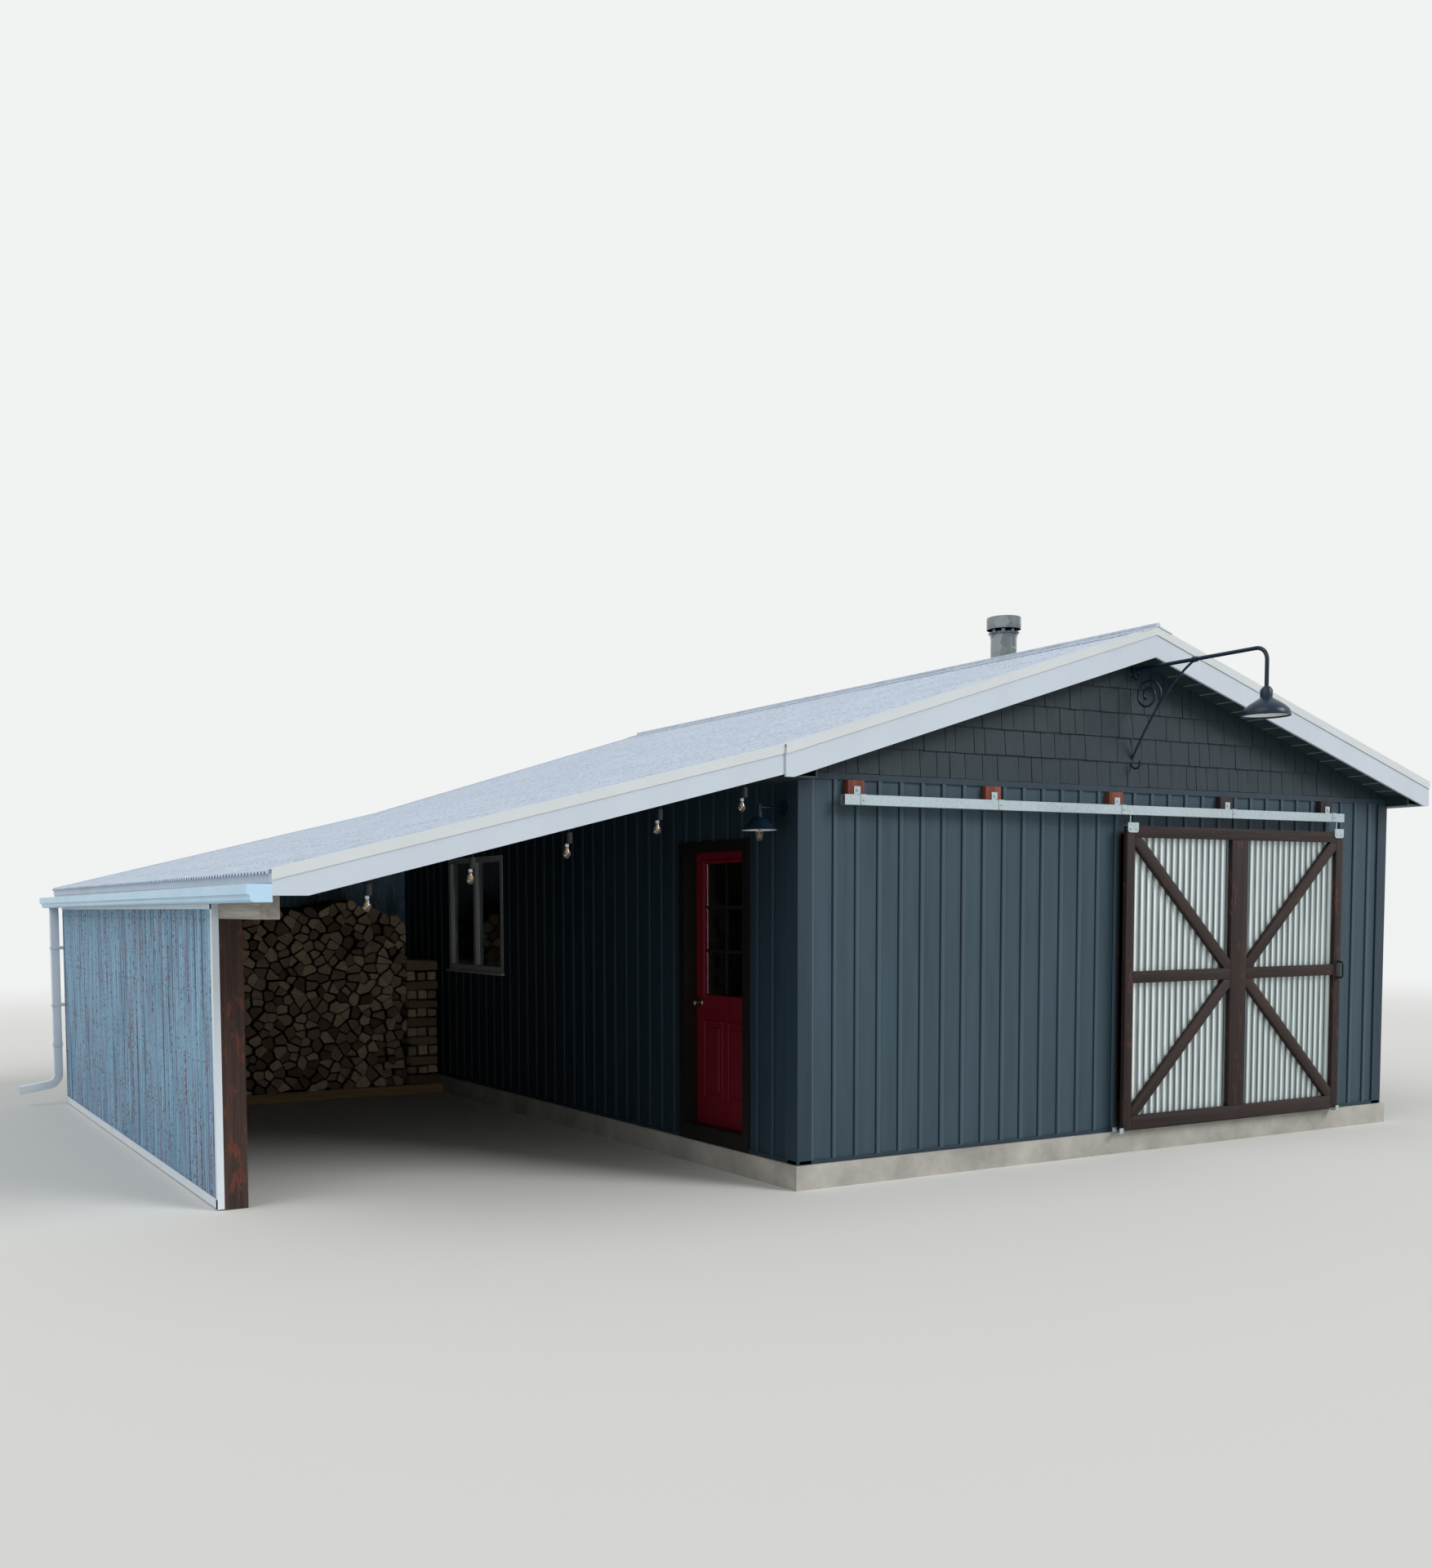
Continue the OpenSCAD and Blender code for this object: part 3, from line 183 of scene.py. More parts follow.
def ribbed_panel_painted_light(name, start, step, painted_highlight, middling, deep):
    """Galvanised corrugated panel with painted light: a painted highlight over each rib's crest and painted
    shade through its valley, softened toward the middling grey in random clouds.
    """
    finish, shader, place, node = begin(name, {"Metallic": 0.25, "Roughness": 0.32})
    parts = node("SeparateXYZ", {0: place})
    shift = node("Math", {0: parts, 1: start}, operation="SUBTRACT")
    ribs = node("Math", {0: shift, 1: step}, operation="DIVIDE")
    across = node("Math", {0: ribs}, operation="FRACT")
    # The colour steps across each rib are painted light: highlight near the crest, shade in the valley
    shade = node("ValToRGB", {"Fac": across})
    stops = shade.color_ramp.elements
    stops[0].color = stops[1].color = tone(deep)
    for at, code in ((0.12, middling), (0.2, painted_highlight), (0.5, painted_highlight), (0.58, middling),
            (0.7, deep), (0.84, deep), (0.93, middling)):
        stops.new(at).color = tone(code)
    cloud = node("Mapping", {"Vector": place, "Scale": (0.03, 0.03, 0.5)})
    grime = node("TexNoise", {"Vector": cloud, "Detail": 5.0})
    share = node("MapRange", {"Value": grime, "From Min": 0.5, "From Max": 0.8, "To Max": 0.5})
    skin = node("Mix", {0: share, 6: shade, 7: middling})
    drawn = node("TexNoise", {"Vector": place, "Scale": 60.0, "Detail": 3.0})
    rise = node("Bump", {"Height": drawn, "Strength": 0.3, "Distance": 0.0001})
    plug(shader, {"Base Color": skin, "Normal": rise})
    return finish


def log_wood(name, pale, deep, size, roughness):
    """Split firewood: each log has its own tone, carried by the mesh, over a fibrous or barky grain."""
    finish, shader, place, node = begin(name, {"Roughness": roughness})
    own = node("Attribute", attribute_name="log_tone")
    lie = node("Mapping", {"Vector": place, "Scale": size})
    fibre = node("TexNoise", {"Vector": lie, "Detail": 6.0, "Roughness": 0.7, "Distortion": 0.8})
    both = node("Math", {0: own.outputs["Fac"], 1: fibre}, operation="MULTIPLY")
    share = node("MapRange", {"Value": both, "From Min": 0.08, "From Max": 0.55})
    wood = node("Mix", {0: share, 6: deep, 7: pale})
    rise = node("Bump", {"Height": fibre, "Strength": 0.9, "Distance": 0.003})
    plug(shader, {"Base Color": wood, "Normal": rise})
    return finish


def wall_panel(name, outside, soiled):
    """A wall: embossed siding outside, bare sheathing board inside, told apart by how far in a point lies."""
    finish, shader, place, node = begin(name, {"Roughness": 0.5, "Specular IOR Level": 0.25})
    parts = node("SeparateXYZ", {0: place})
    inner = []
    for axis, wall in ((0, wall_x), (1, wall_y)):
        away = node("Math", {0: parts.outputs[axis]}, operation="ABSOLUTE")
        inner.append(node("Math", {0: away, 1: wall - 0.1}, operation="LESS_THAN"))
    within = node("Math", dict(enumerate(inner)), operation="MULTIPLY")
    run = node("Mapping", {"Vector": place, "Scale": (0.09, 0.09, 1.1)})
    stain = node("TexNoise", {"Vector": run, "Detail": 5.0, "Roughness": 0.6})
    share = node("MapRange", {"Value": stain, "From Min": 0.35, "From Max": 0.75})
    skin = node("Mix", {0: share, 6: outside, 7: soiled})
    board = node("Mapping", {"Vector": place, "Scale": (0.03, 0.03, 0.5)})
    ply = node("TexNoise", {"Vector": board, "Detail": 5.0, "Distortion": 0.7})
    bare = node("Mix", {0: ply, 6: "#7d654a", 7: "#a3875f"})
    face = node("Mix", {0: within, 6: skin, 7: bare})
    fine = node("Mapping", {"Vector": place, "Scale": (0.004, 0.004, 0.09)})
    grain = node("TexNoise", {"Vector": fine, "Detail": 4.0})
    rise = node("Bump", {"Height": grain, "Strength": 0.6, "Distance": 0.0006})
    plug(shader, {"Base Color": face, "Normal": rise})
    return finish


def clear_glass(name, tint):
    """Clear glass: smooth, faintly tinted, and see-through."""
    finish, shader, place, node = begin(name, {"Roughness": 0.02, "IOR": 1.5, "Transmission Weight": 1.0})
    dust = node("TexNoise", {"Vector": place, "Scale": 9.0, "Detail": 4.0})
    plug(shader, {"Base Color": node("Mix", {0: dust, 6: tint, 7: "#f4f8f8"})})
    return finish


wall_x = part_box("right_wall")[1].x
front_low, front_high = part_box("front_wall_left")
wall_y = -front_low.y
foot = front_low.z
belt_top = front_high.z
crest = 0.068

# Cast concrete: matt and blotched
concrete = cast_concrete("cast_concrete")
# Embossed siding and its battens: satin, darker where rain runs down; the darker copies are painted shade for
# the wall under the lean-to's roof
rain_worn = dict(streak=(0.09, 0.09, 1.1), relief=(0.004, 0.004, 0.09))
siding_wall = wall_panel("embossed_siding", "#3a4e5a", "#30424c")
siding_painted_shade = wall_panel("embossed_siding_painted_shade", "#253844", "#1b2b35")
siding_batten = coated("siding_batten", "#3e525e", "#2f414b", depth=0.0006, **rain_worn)
batten_painted_shade = coated("siding_batten_painted_shade", "#293d49", "#1d2d37", depth=0.0006, **rain_worn)
# Painted shadow: the dark strips beside each rib stand for the shade in the groove there
siding_painted_shadow = coated("siding_painted_shadow_strip", "#121c23", "#0d151a", roughness=0.6)
trim_blue = coated("corner_trim", "#253744", "#1b2a34", **rain_worn)
# Moulded shakes over a near-black backing: deep wood-like relief, each with its run of grain down the face
shake_wall = wall_panel("shake_backing", "#0d1519", "#0a1013")
shake_finish = coated("moulded_shake", "#1c2f37", "#121e24", streak=(0.01, 0.01, 0.3), amount=0.8,
    relief=(0.006, 0.006, 0.12), depth=0.002)
# Coated steel in white, cream, bluish white and pale blue: clean and slightly glossy, with grey run-off
clean = dict(streak=(0.4, 0.4, 0.5), amount=0.35, depth=0.0001)
white_steel = coated("white_coated_steel", "#c7d0da", "#b4bdc7", roughness=0.4, **clean)
flashing_cream = coated("cream_flashing", "#d2d7d8", "#c0c4c2", roughness=0.4, **clean)
trim_white = coated("bluish_white_trim", "#dfe7ee", "#c6ced6", roughness=0.4, **clean)
gutter_steel = coated("pale_blue_gutter", "#b9daf0", "#a3c0d6", roughness=0.35, **clean)
# Vented soffit panels: dark and satin, with pale seams
soffit_dark = coated("dark_soffit", "#27363a", "#1d292c", roughness=0.5)
seam_pale = coated("soffit_seam", "#8d999c", "#6c787c")
# Galvanised, plated and stainless metal: dull to half bright, its soft spangle drawn coarse enough to show
roof_metal = bare_metal("galvanised_roofing", "#bcc7d6", "#a6b2c1", 0.42, 0.03, 0.3)
zinc_metal = bare_metal("zinc_plate", "#b6c4c9", "#a5b3b8", 0.36, 0.012, 0.6)
flue_metal = bare_metal("stainless_flue", "#8f979b", "#60676b", 0.25, 0.09, 0.95)
knob_metal = bare_metal("satin_knob", "#a1927c", "#7a6c58", 0.3, 0.02, 1.0)
# Door panels: painted highlight on the crests and painted shade in the valleys, in step with the ribs
panel_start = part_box("sliding_door_panels")[0].x
door_metal_painted_light = ribbed_panel_painted_light("galvanised_door_panel_painted_light", panel_start, crest, "#f6fcfc", "#b3c1c0", "#3d494e")
old_sheet = rusted_sheet("rusted_enamel_sheet")
nail_rust = coated("rusty_nail_head", "#7d4c39", "#54301f", roughness=0.85)
# Stained and weathered boards: matt, with the grain along each board and red-brown wear on the dark ones
upright = (0.0, -math.pi / 2, 0.0)
stain_up = timber("dark_stain_upright", "#2e1f1c", "#1b1413", upright, "#4f2a20", 0.58)
stain_level = timber("dark_stain_level", "#30211e", "#1c1514", spots="#472820")
roof_boards = timber("sawn_roof_timber", "#6a5b4b", "#463a2f")
post_wood = timber("stained_post", "#47332c", "#2c201c", upright, "#5e3227", 0.55)
beam_wood = timber("silver_beam", "#bdb8ad", "#8c867b", (0.0, 0.0, math.pi / 2))
sill_wood = timber("pale_sill_timber", "#b99b6c", "#94774e")
block_wood = timber("red_brown_block", "#8c4a38", "#5e3026", upright)
block_dark = timber("soot_brown_block", "#3c2a2c", "#1e1a20", upright)
# Split logs: rough and dull, pale fibrous ends and grey-brown sides
log_end = log_wood("cut_log_end", "#e0c9a8", "#6e5a48", (0.012, 0.4, 0.012), 0.85)
log_side = log_wood("log_bark", "#a58b70", "#3d3126", (0.014, 0.2, 0.014), 0.9)
# Black, red and pale paint: satin, with a faint brushed relief; enamel on the lamps: smooth and glossier
brushed = dict(roughness=0.4, relief=(0.004, 0.004, 0.06))
black_iron = coated("black_painted_steel", "#1a1b1d", "#101112")
red_paint = coated("dark_red_paint", "#6e0f21", "#540b19", **brushed)
frame_black = coated("black_painted_frame", "#171413", "#0f0d0c", **brushed)
frame_paint = coated("pale_window_paint", "#c9cfd1", "#a4acae", roughness=0.4)
lamp_enamel = coated("blue_black_enamel", "#10273a", "#0a1826", roughness=0.3, depth=0.00005)
lamp_white = coated("white_enamel", "#eceeec", "#d5d8d6", roughness=0.3, depth=0.00005)
# Window and lamp glass: clear and smooth, the lamps' faintly amber round a warm filament
pane_glass = clear_glass("window_glass", "#dfe9ea")
bulb_glass = clear_glass("lamp_glass", "#f2e4c4")
filament = coated("lamp_filament", "#e8b25a", "#c98a3a", roughness=0.5)

painted = {
    concrete: ["floor_slab"],
    siding_wall: ["front_wall_left", "front_wall_right", "front_wall_over_door", "right_wall", "back_wall"],
    # The left wall takes the darker siding: painted shade for the lean-to's roof over it
    siding_painted_shade: ["left_wall_front", "left_wall_over_door", "left_wall_back"],
    shake_wall: ["front_gable", "back_gable"],
    trim_blue: ["wall_trim"],
    roof_metal: ["roof_sheets", "ridge_cap", "lean_to_sheet", "chimney_flashing"],
    roof_boards: ["roof_left", "roof_right", "lean_to_deck", "lean_to_rafters", "lean_to_wall_frame"],
    white_steel: ["front_fascia", "back_fascia", "right_eave_fascia", "lean_to_fascia"],
    gutter_steel: ["gutter"],
    soffit_dark: ["eave_soffit"],
    post_wood: ["lean_to_posts"],
    old_sheet: ["lean_to_wall_sheets", "lean_to_back_wall"],
    sill_wood: ["woodpile_sill"],
    flue_metal: ["chimney_pipe", "chimney_cap"],
    frame_paint: ["window_frame"],
    pane_glass: ["window_glass"],
    frame_black: ["entry_door_frame"],
    knob_metal: ["entry_door_knob"],
    zinc_metal: ["door_track"],
    black_iron: ["string_sockets"],
    door_metal_painted_light: ["sliding_door_panels"],
    lamp_enamel: ["wall_lamp"],
}
for finish, names in painted.items():
    for name in names:
        slots = nodes[name].data.materials
        slots.clear()
        slots.append(finish)

# Shapes

shift_to = Matrix.Translation
facing_out = Matrix.Rotation(math.pi / 2, 4, "X")


def slab(bm, low, high, turn=None):
    """A box between two corners, placed by turn."""
    low, high = Vector(low), Vector(high)
    place = shift_to((low + high) / 2) @ Matrix.Diagonal((*(high - low), 1.0))
    return bmesh.ops.create_cube(bm, size=1.0, matrix=(turn or Matrix()) @ place)["verts"]


def rod(bm, radius, length, place, sides=16, top=None):
    """A bar along Z with round or many-sided ends, narrower at its top where one is given."""
    bmesh.ops.create_cone(bm, cap_ends=True, segments=sides, radius1=radius, radius2=top or radius,
        depth=length, matrix=place)


def screw(bm, place, head=0.006, washer=0.011):
    """A six-sided head on its washer."""
    rod(bm, washer, 0.002, place, 10, washer * 0.9)
    rod(bm, head, 0.005, place @ shift_to((0, 0, 0.003)), 6)


def soften(bm, edges, width, segments=2):
    """Rounds the edges given."""
    bmesh.ops.bevel(bm, geom=list(edges), offset=width, offset_type="OFFSET", affect="EDGES",
        segments=segments, profile=0.5, material=-1, clamp_overlap=True)


def ease(bm, width, segments=2):
    """Rounds every sharp edge."""
    soften(bm, [e for e in bm.edges if e.calc_face_angle(0.0) > 0.5], width, segments)


def clip(bm, point, outward):
    """Takes off what lies beyond a plane."""
    bmesh.ops.bisect_plane(bm, geom=bm.verts[:] + bm.edges[:] + bm.faces[:], plane_co=point,
        plane_no=outward, clear_outer=True)


def cut_away(bm, point, outward):
    """Takes off what lies beyond a plane, and closes what it opened."""
    clip(bm, point, outward)
    bmesh.ops.holes_fill(bm, edges=[e for e in bm.edges if e.is_boundary], sides=0)


def turned(bm, outline, place, steps=32):
    """A closed shape turned about Z from its (radius, height) points, then placed."""
    points = [bm.verts.new((r, 0.0, z)) for r, z in outline]
    lines = [bm.edges.new(pair) for pair in zip(points, points[1:])]
    bmesh.ops.spin(bm, geom=points + lines, cent=(0, 0, 0), axis=(0, 0, 1), angle=2 * math.pi,
        steps=steps, use_merge=True)
    reach = set(points)
    grow = list(points)
    while grow:
        for edge in grow.pop().link_edges:
            for vert in edge.verts:
                if vert not in reach:
                    reach.add(vert)
                    grow.append(vert)
    bmesh.ops.transform(bm, matrix=place, verts=list(reach))


def prism(bm, outline, place, depth):
    """A flat outline drawn in X and Y, raised along Z by depth, then placed."""
    points = [bm.verts.new((*at, 0.0)) for at in outline]
    raised = bmesh.ops.extrude_face_region(bm, geom=[bm.faces.new(points)])["geom"]
    top = [g for g in raised if isinstance(g, bmesh.types.BMVert)]
    bmesh.ops.translate(bm, verts=top, vec=(0, 0, depth))
    bmesh.ops.transform(bm, matrix=place, verts=points + top)
    bmesh.ops.recalc_face_normals(bm, faces=list({f for v in points + top for f in v.link_faces}))


def sweep(bm, path, sideways, half, sides=10, caps=True):
    """A bar along a flat path: round, or square-cut with four sides. sideways points out of its plane."""
    before = None
    first = None
    reach = math.sqrt(2) if sides == 4 else 1.0
    quarter = Matrix.Rotation(math.pi / 4 if sides == 4 else 0.0, 4, "Z")
    for i, at in enumerate(path):
        ahead = (path[min(i + 1, len(path) - 1)] - path[max(i - 1, 0)]).normalized()
        turn = Matrix((sideways, ahead.cross(sideways), ahead)).transposed().to_4x4()
        place = shift_to(at) @ turn @ Matrix.Diagonal((*half, 1.0, 1.0)) @ quarter
        ring = bmesh.ops.create_circle(bm, cap_ends=False, segments=sides, radius=reach, matrix=place)["verts"]
        edges = list({e for v in ring for e in v.link_edges})
        if before:
            bmesh.ops.bridge_loops(bm, edges=before + edges)
        before = edges
        first = first or ring
    if caps:
        bm.faces.new(first)
        bm.faces.new(ring)


def take_in(bm, part, moves=(Matrix(),)):
    """Adds a smaller mesh to a piece, once after each move, and says which faces each copy became."""
    mesh = bpy.data.meshes.new("part")
    part.to_mesh(mesh)
    part.free()
    spans = []
    for move in moves:
        mesh.transform(move)
        before = len(bm.faces)
        bm.from_mesh(mesh)
        spans.append(range(before, len(bm.faces)))
    bpy.data.meshes.remove(mesh)
    return spans


def linked(name, bm):
    """An object of the scene, made from its mesh."""
    mesh = bpy.data.meshes.new(name)
    bm.to_mesh(mesh)
    bm.free()
    made = bpy.data.objects.new(name, mesh)
    bpy.context.scene.collection.objects.link(made)
    return made


def piece(name, bm, finishes, stands_for=(), body="root", smooth=0.0, merge=False):
    """A finished piece from its mesh, riding on a body, in place of the frame's nodes that it stands for."""
    if merge:
        bmesh.ops.remove_doubles(bm, verts=bm.verts[:], dist=0.00002)
        bmesh.ops.recalc_face_normals(bm, faces=bm.faces[:])
    made = linked(name, bm)
    for finish in finishes:
        made.data.materials.append(finish)
    if smooth:
        made.data.shade_smooth()
        made.data.set_sharp_from_angle(angle=math.radians(smooth))
    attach(made, body)
    if stands_for:
        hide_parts(*stands_for)
    return made


# Board and batten siding: where the ribs start and how they repeat, and the painted shadow, a dark strip on
# each side of a rib
rib_step, rib_start, rib_w, rib_t = 0.1865, 0.107, 0.034, 0.012
shadow_strip_w, shadow_strip_t = 0.007, 0.0012
head_low, head_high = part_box("front_wall_over_door")
entry_low, entry_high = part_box("entry_door_frame")
window_low, window_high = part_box("window_frame")
belt_low = belt_top - 0.042
eave_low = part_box("wall_trim")[1].z
margin = 0.02


def siding_ribs(name, half, at, along, outward, spans, finish=siding_batten):
    """Ribs on a wall along X or Y. spans(u) gives the stretches of height that a rib at u has."""
    ribs, shadow_strips = bmesh.new(), bmesh.new()

    def strip_at(bm, left, width, thick, low, high):
        a, b = (left, min(at, at + outward * thick)), (left + width, max(at, at + outward * thick))
        slab(bm, (*(a if along == "x" else a[::-1]), low), (*(b if along == "x" else b[::-1]), high))

    for i in range(round((2 * half - 2 * rib_start) / rib_step) + 1):
        u = -half + rib_start + i * rib_step
        for low, high in spans(u):
            # A dark strip of painted shadow on each side of the rib
            for left in (u - rib_w / 2 - shadow_strip_w, u + rib_w / 2):
                strip_at(shadow_strips, left, shadow_strip_w, shadow_strip_t, low, high)
            strip_at(ribs, u - rib_w / 2, rib_w, rib_t, low, high)
    side = 1 if along == "x" else 0
    soften(ribs, [e for e in ribs.edges if all(abs(v.co[side] - at) > rib_t / 2 for v in e.verts)
        and abs(e.verts[0].co.z - e.verts[1].co.z) > 0.02], 0.005)
    piece(name, ribs, [finish], smooth=40)
    # The dark strips are a piece of their own: painted shadow beside the ribs
    piece(name + "_gaps", shadow_strips, [siding_painted_shadow])


def front_spans(x):
    over_door = head_low.x - margin < x < head_high.x + margin
    return [(head_low.z if over_door else foot, belt_low)]


def left_spans(y):
    if entry_low.y - margin < y < entry_high.y + margin:
        return [(entry_high.z, eave_low)]
    if window_low.y - margin < y < window_high.y + margin:
        return [(foot, window_low.z), (window_high.z, eave_low)]
    return [(foot, eave_low)]


siding_ribs("front_siding_ribs", wall_x, -wall_y, "x", -1, front_spans)
siding_ribs("back_siding_ribs", wall_x, wall_y, "x", 1, lambda x: [(foot, belt_low)])
# The left wall's ribs take the darker batten: painted shade
siding_ribs("left_siding_ribs", wall_y, -wall_x, "y", -1, left_spans, batten_painted_shade)
siding_ribs("right_siding_ribs", wall_y, wall_x, "y", 1, lambda y: [(foot, eave_low)])

# Starter strip along the siding's foot, and the boards that line the doorway behind the shut door
bm = bmesh.new()
strip_h, strip_t = 0.028, 0.014
low_z, high_z = foot + 0.001, foot + strip_h
for low, high in ((-wall_x, head_low.x), (head_high.x, wall_x)):
    slab(bm, (low, -wall_y - strip_t, low_z), (high, -wall_y, high_z))
slab(bm, (-wall_x, wall_y, low_z), (wall_x, wall_y + strip_t, high_z))
slab(bm, (wall_x, -wall_y, low_z), (wall_x + strip_t, wall_y, high_z))
for low, high in ((-wall_y, entry_low.y), (entry_high.y, wall_y)):
    slab(bm, (-wall_x - strip_t, low, low_z), (-wall_x, high, high_z))
ease(bm, 0.002, 1)
piece("starter_strips", bm, [trim_blue], smooth=40)
bm = bmesh.new()
lining_t = 0.02
for x in (head_low.x, head_high.x - lining_t):
    slab(bm, (x, -wall_y, foot), (x + lining_t, front_high.y, head_low.z))
slab(bm, (head_low.x + lining_t, -wall_y, head_low.z - lining_t),
    (head_high.x - lining_t, front_high.y, head_low.z))
ease(bm, 0.003)
piece("doorway_lining", bm, [stain_up], ["sliding_door_casing"], smooth=40)

# Gable shakes: courses of 182 mm, each shake 90 to 200 mm wide and thick at its foot
roof_pitch, lean_pitch = 0.307, 0.247
slope, lean_slope = math.atan(roof_pitch), math.atan(lean_pitch)
gable_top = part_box("front_gable")[1].z - 0.012
course = 0.182


def gable_shakes(name, at, outward):
    bm = bmesh.new()
    low = belt_top
    while low < gable_top:
        x = -wall_x - dice.uniform(0.0, 0.15)
        while x < wall_x:
            width = dice.uniform(0.09, 0.2)
            thick = dice.uniform(0.013, 0.018)
            drop = dice.uniform(0.0, 0.004)
            points = slab(bm, (x + 0.0025, min(at, at + outward * thick), low - drop + 0.004),
                (x + width - 0.0025, max(at, at + outward * thick), low + course + 0.02))
            for v in points:
                if v.co.z > low + course and abs(v.co.y - at) > 0.001:
                    v.co.y = at + outward * 0.003
            x += width
        low += course
    for side in (-1, 1):
        cut_away(bm, (side * wall_x, at, 0.0), (side, 0, 0))
        cut_away(bm, (0, at, gable_top), (side * roof_pitch, 0, 1))
    piece(name, bm, [shake_finish])


gable_shakes("front_gable_shakes", -wall_y, -1)
gable_shakes("back_gable_shakes", wall_y, 1)

# Seams of the soffit panels, every 190 mm along the slope, from the siding to the edge board
fascia_low, fascia_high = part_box("front_fascia")
rake_out = -fascia_low.y
near, far = wall_y + strip_t, rake_out - 0.027
bm = bmesh.new()
for side in (-1, 1):
    for low_y, high_y in ((-far, -near), (near, far)):
        for i in range(1, 17):
            x = side * i * 0.19 * math.cos(slope)
            turn = shift_to((x, 0, gable_top - abs(x) * roof_pitch)) @ Matrix.Rotation(side * slope, 4, "Y")
            slab(bm, (-0.003, low_y, -0.003), (0.003, high_y, 0.0), turn)
piece("soffit_seams", bm, [seam_pale])

# Flashing over the top of each edge board, along the gables and the lean-to's ends
lean_fascia_low, lean_fascia_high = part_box("lean_to_fascia")
flash_h, flash_t = 0.06, 0.003
bm = bmesh.new()
for side in (-1, 1):
    for face, left, right, top, grade in (
        (rake_out, 0.0, fascia_high.x, fascia_high.z, -roof_pitch),
        (rake_out, fascia_low.x, 0.0, fascia_high.z, roof_pitch),
        (-lean_fascia_low.y, lean_fascia_low.x, lean_fascia_high.x, lean_fascia_high.z, lean_pitch),
    ):
        low = top - abs(grade) * (right - left)
        left_z, right_z = (top, low) if grade < 0 else (low, top)
        place = Matrix(((1, 0, 0, 0), (0, 0, -1, side * face), (0, 1, 0, 0), (0, 0, 0, 1)))
        prism(bm, [(left, left_z - flash_h), (right, right_z - flash_h), (right, right_z), (left, left_z)],
            place, flash_t * -side)
piece("rake_flashing", bm, [flashing_cream])

# Roofing screws with washers: rows across the sheets, on every second crest. The crest lies 0.34 of a rib in
sheet_low, sheet_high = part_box("roof_sheets")
lean_low, lean_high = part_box("lean_to_sheet")
crest_at = 0.34
fold_x = -3.308
fold_z = sheet_high.z + roof_pitch * fold_x


def screw_rows(bm, low, high, rows):
    """Rows of screws along a roof sheet, each at its x and height, square to its slope."""
    ribs = math.floor((high.y - low.y) / crest)
    start = -ribs * crest / 2 + crest_at * crest
    for x, z, tilt in rows:
        for i in range(1, ribs, 2):
            screw(bm, shift_to((x, start + i * crest, z)) @ Matrix.Rotation(tilt, 4, "Y"))


bm = bmesh.new()
screw_rows(bm, sheet_low, sheet_high,
    [(side * x, sheet_high.z - roof_pitch * x, side * slope)
     for side in (-1, 1) for x in [0.3 + row * 0.58 for row in range(6)]])
screw_rows(bm, lean_low, lean_high,
    [(fold_x - x, fold_z - lean_pitch * x, -lean_slope) for x in [0.2 + row * 0.56 for row in range(6)]])
piece("roofing_screws", bm, [zinc_metal])

# Nail heads along the lean-to wall's girts
wall_sheet_low, wall_sheet_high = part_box("lean_to_wall_sheets")
bm = bmesh.new()
ribs = round((wall_sheet_high.y - wall_sheet_low.y) / crest)
step = (wall_sheet_high.y - wall_sheet_low.y) / ribs
girts = (0.09, 0.5, 0.9, 1.35, 1.82)
for z in girts:
    for i in range(0, ribs, 2):
        y = wall_sheet_high.y - (i + crest_at) * step + dice.uniform(-0.004, 0.004)
        place = shift_to((wall_sheet_low.x, y, z + dice.uniform(-0.008, 0.008)))
        rod(bm, 0.008, 0.004, place @ Matrix.Rotation(-math.pi / 2, 4, "Y"), 8, 0.005)
piece("lean_to_wall_nails", bm, [nail_rust])

# Edge strips of the old sheets: one below, one under the eave, and a thin angle beside the post
trim_low, trim_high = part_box("lean_to_wall_trim")
post_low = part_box("lean_to_posts")[0]
bm = bmesh.new()
lap = 0.004
inner_x = trim_low.x + lap
for low_z, high_z in ((trim_low.z, trim_low.z + 0.06), (trim_high.z - 0.066, trim_high.z)):
    slab(bm, (trim_low.x, trim_low.y + lap, low_z), (inner_x, trim_high.y, high_z))
slab(bm, trim_low, (inner_x, trim_low.y + 0.044, trim_high.z))
slab(bm, (inner_x, trim_low.y, trim_low.z), (post_low.x, trim_low.y + lap, trim_high.z))
piece("sheet_edging", bm, [trim_white], ["lean_to_wall_trim"])

# Eave beam, deeper at the free end that stands out past the post
beam_low, beam_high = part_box("lean_to_beam")
bm = bmesh.new()
deep = beam_low.z - 0.025
prism(bm, [(beam_low.y, deep), (post_low.y, deep), (post_low.y, beam_low.z), (beam_high.y, beam_low.z),
    (beam_high.y, beam_high.z), (beam_low.y, beam_high.z)],
    Matrix(((0, 0, 1, beam_low.x), (1, 0, 0, 0), (0, 1, 0, 0), (0, 0, 0, 1))), beam_high.x - beam_low.x)
ease(bm, 0.005)
piece("eave_beam", bm, [beam_wood], ["lean_to_beam"], smooth=40)

# Downspout: one bent tube, with a collar and two wall straps
spout_low, spout_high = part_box("downspout")
spout_x = spout_low.x + 0.37
spout_y = spout_low.y + 0.038
bend = 0.11
elbow = Vector((spout_x, spout_y, 0.205))
toe = Vector((spout_low.x + 0.012, spout_y, 0.152))
out_turn = math.pi / 2 - math.atan2(elbow.z - toe.z, elbow.x - toe.x)
centre = elbow + Vector((-bend, 0, bend * math.tan(out_turn / 2)))
path = [Vector((spout_x, spout_y, spout_high.z))]
for i in range(9):
    a = i * out_turn / 8
    path.append(centre + bend * Vector((math.cos(a), 0, -math.sin(a))))
bm = bmesh.new()
sweep(bm, path + [toe], Vector((0, 1, 0)), (0.03, 0.04), 4, caps=False)
soften(bm, [e for e in bm.edges if e.calc_face_angle(0.0) > 1.2], 0.008, 3)
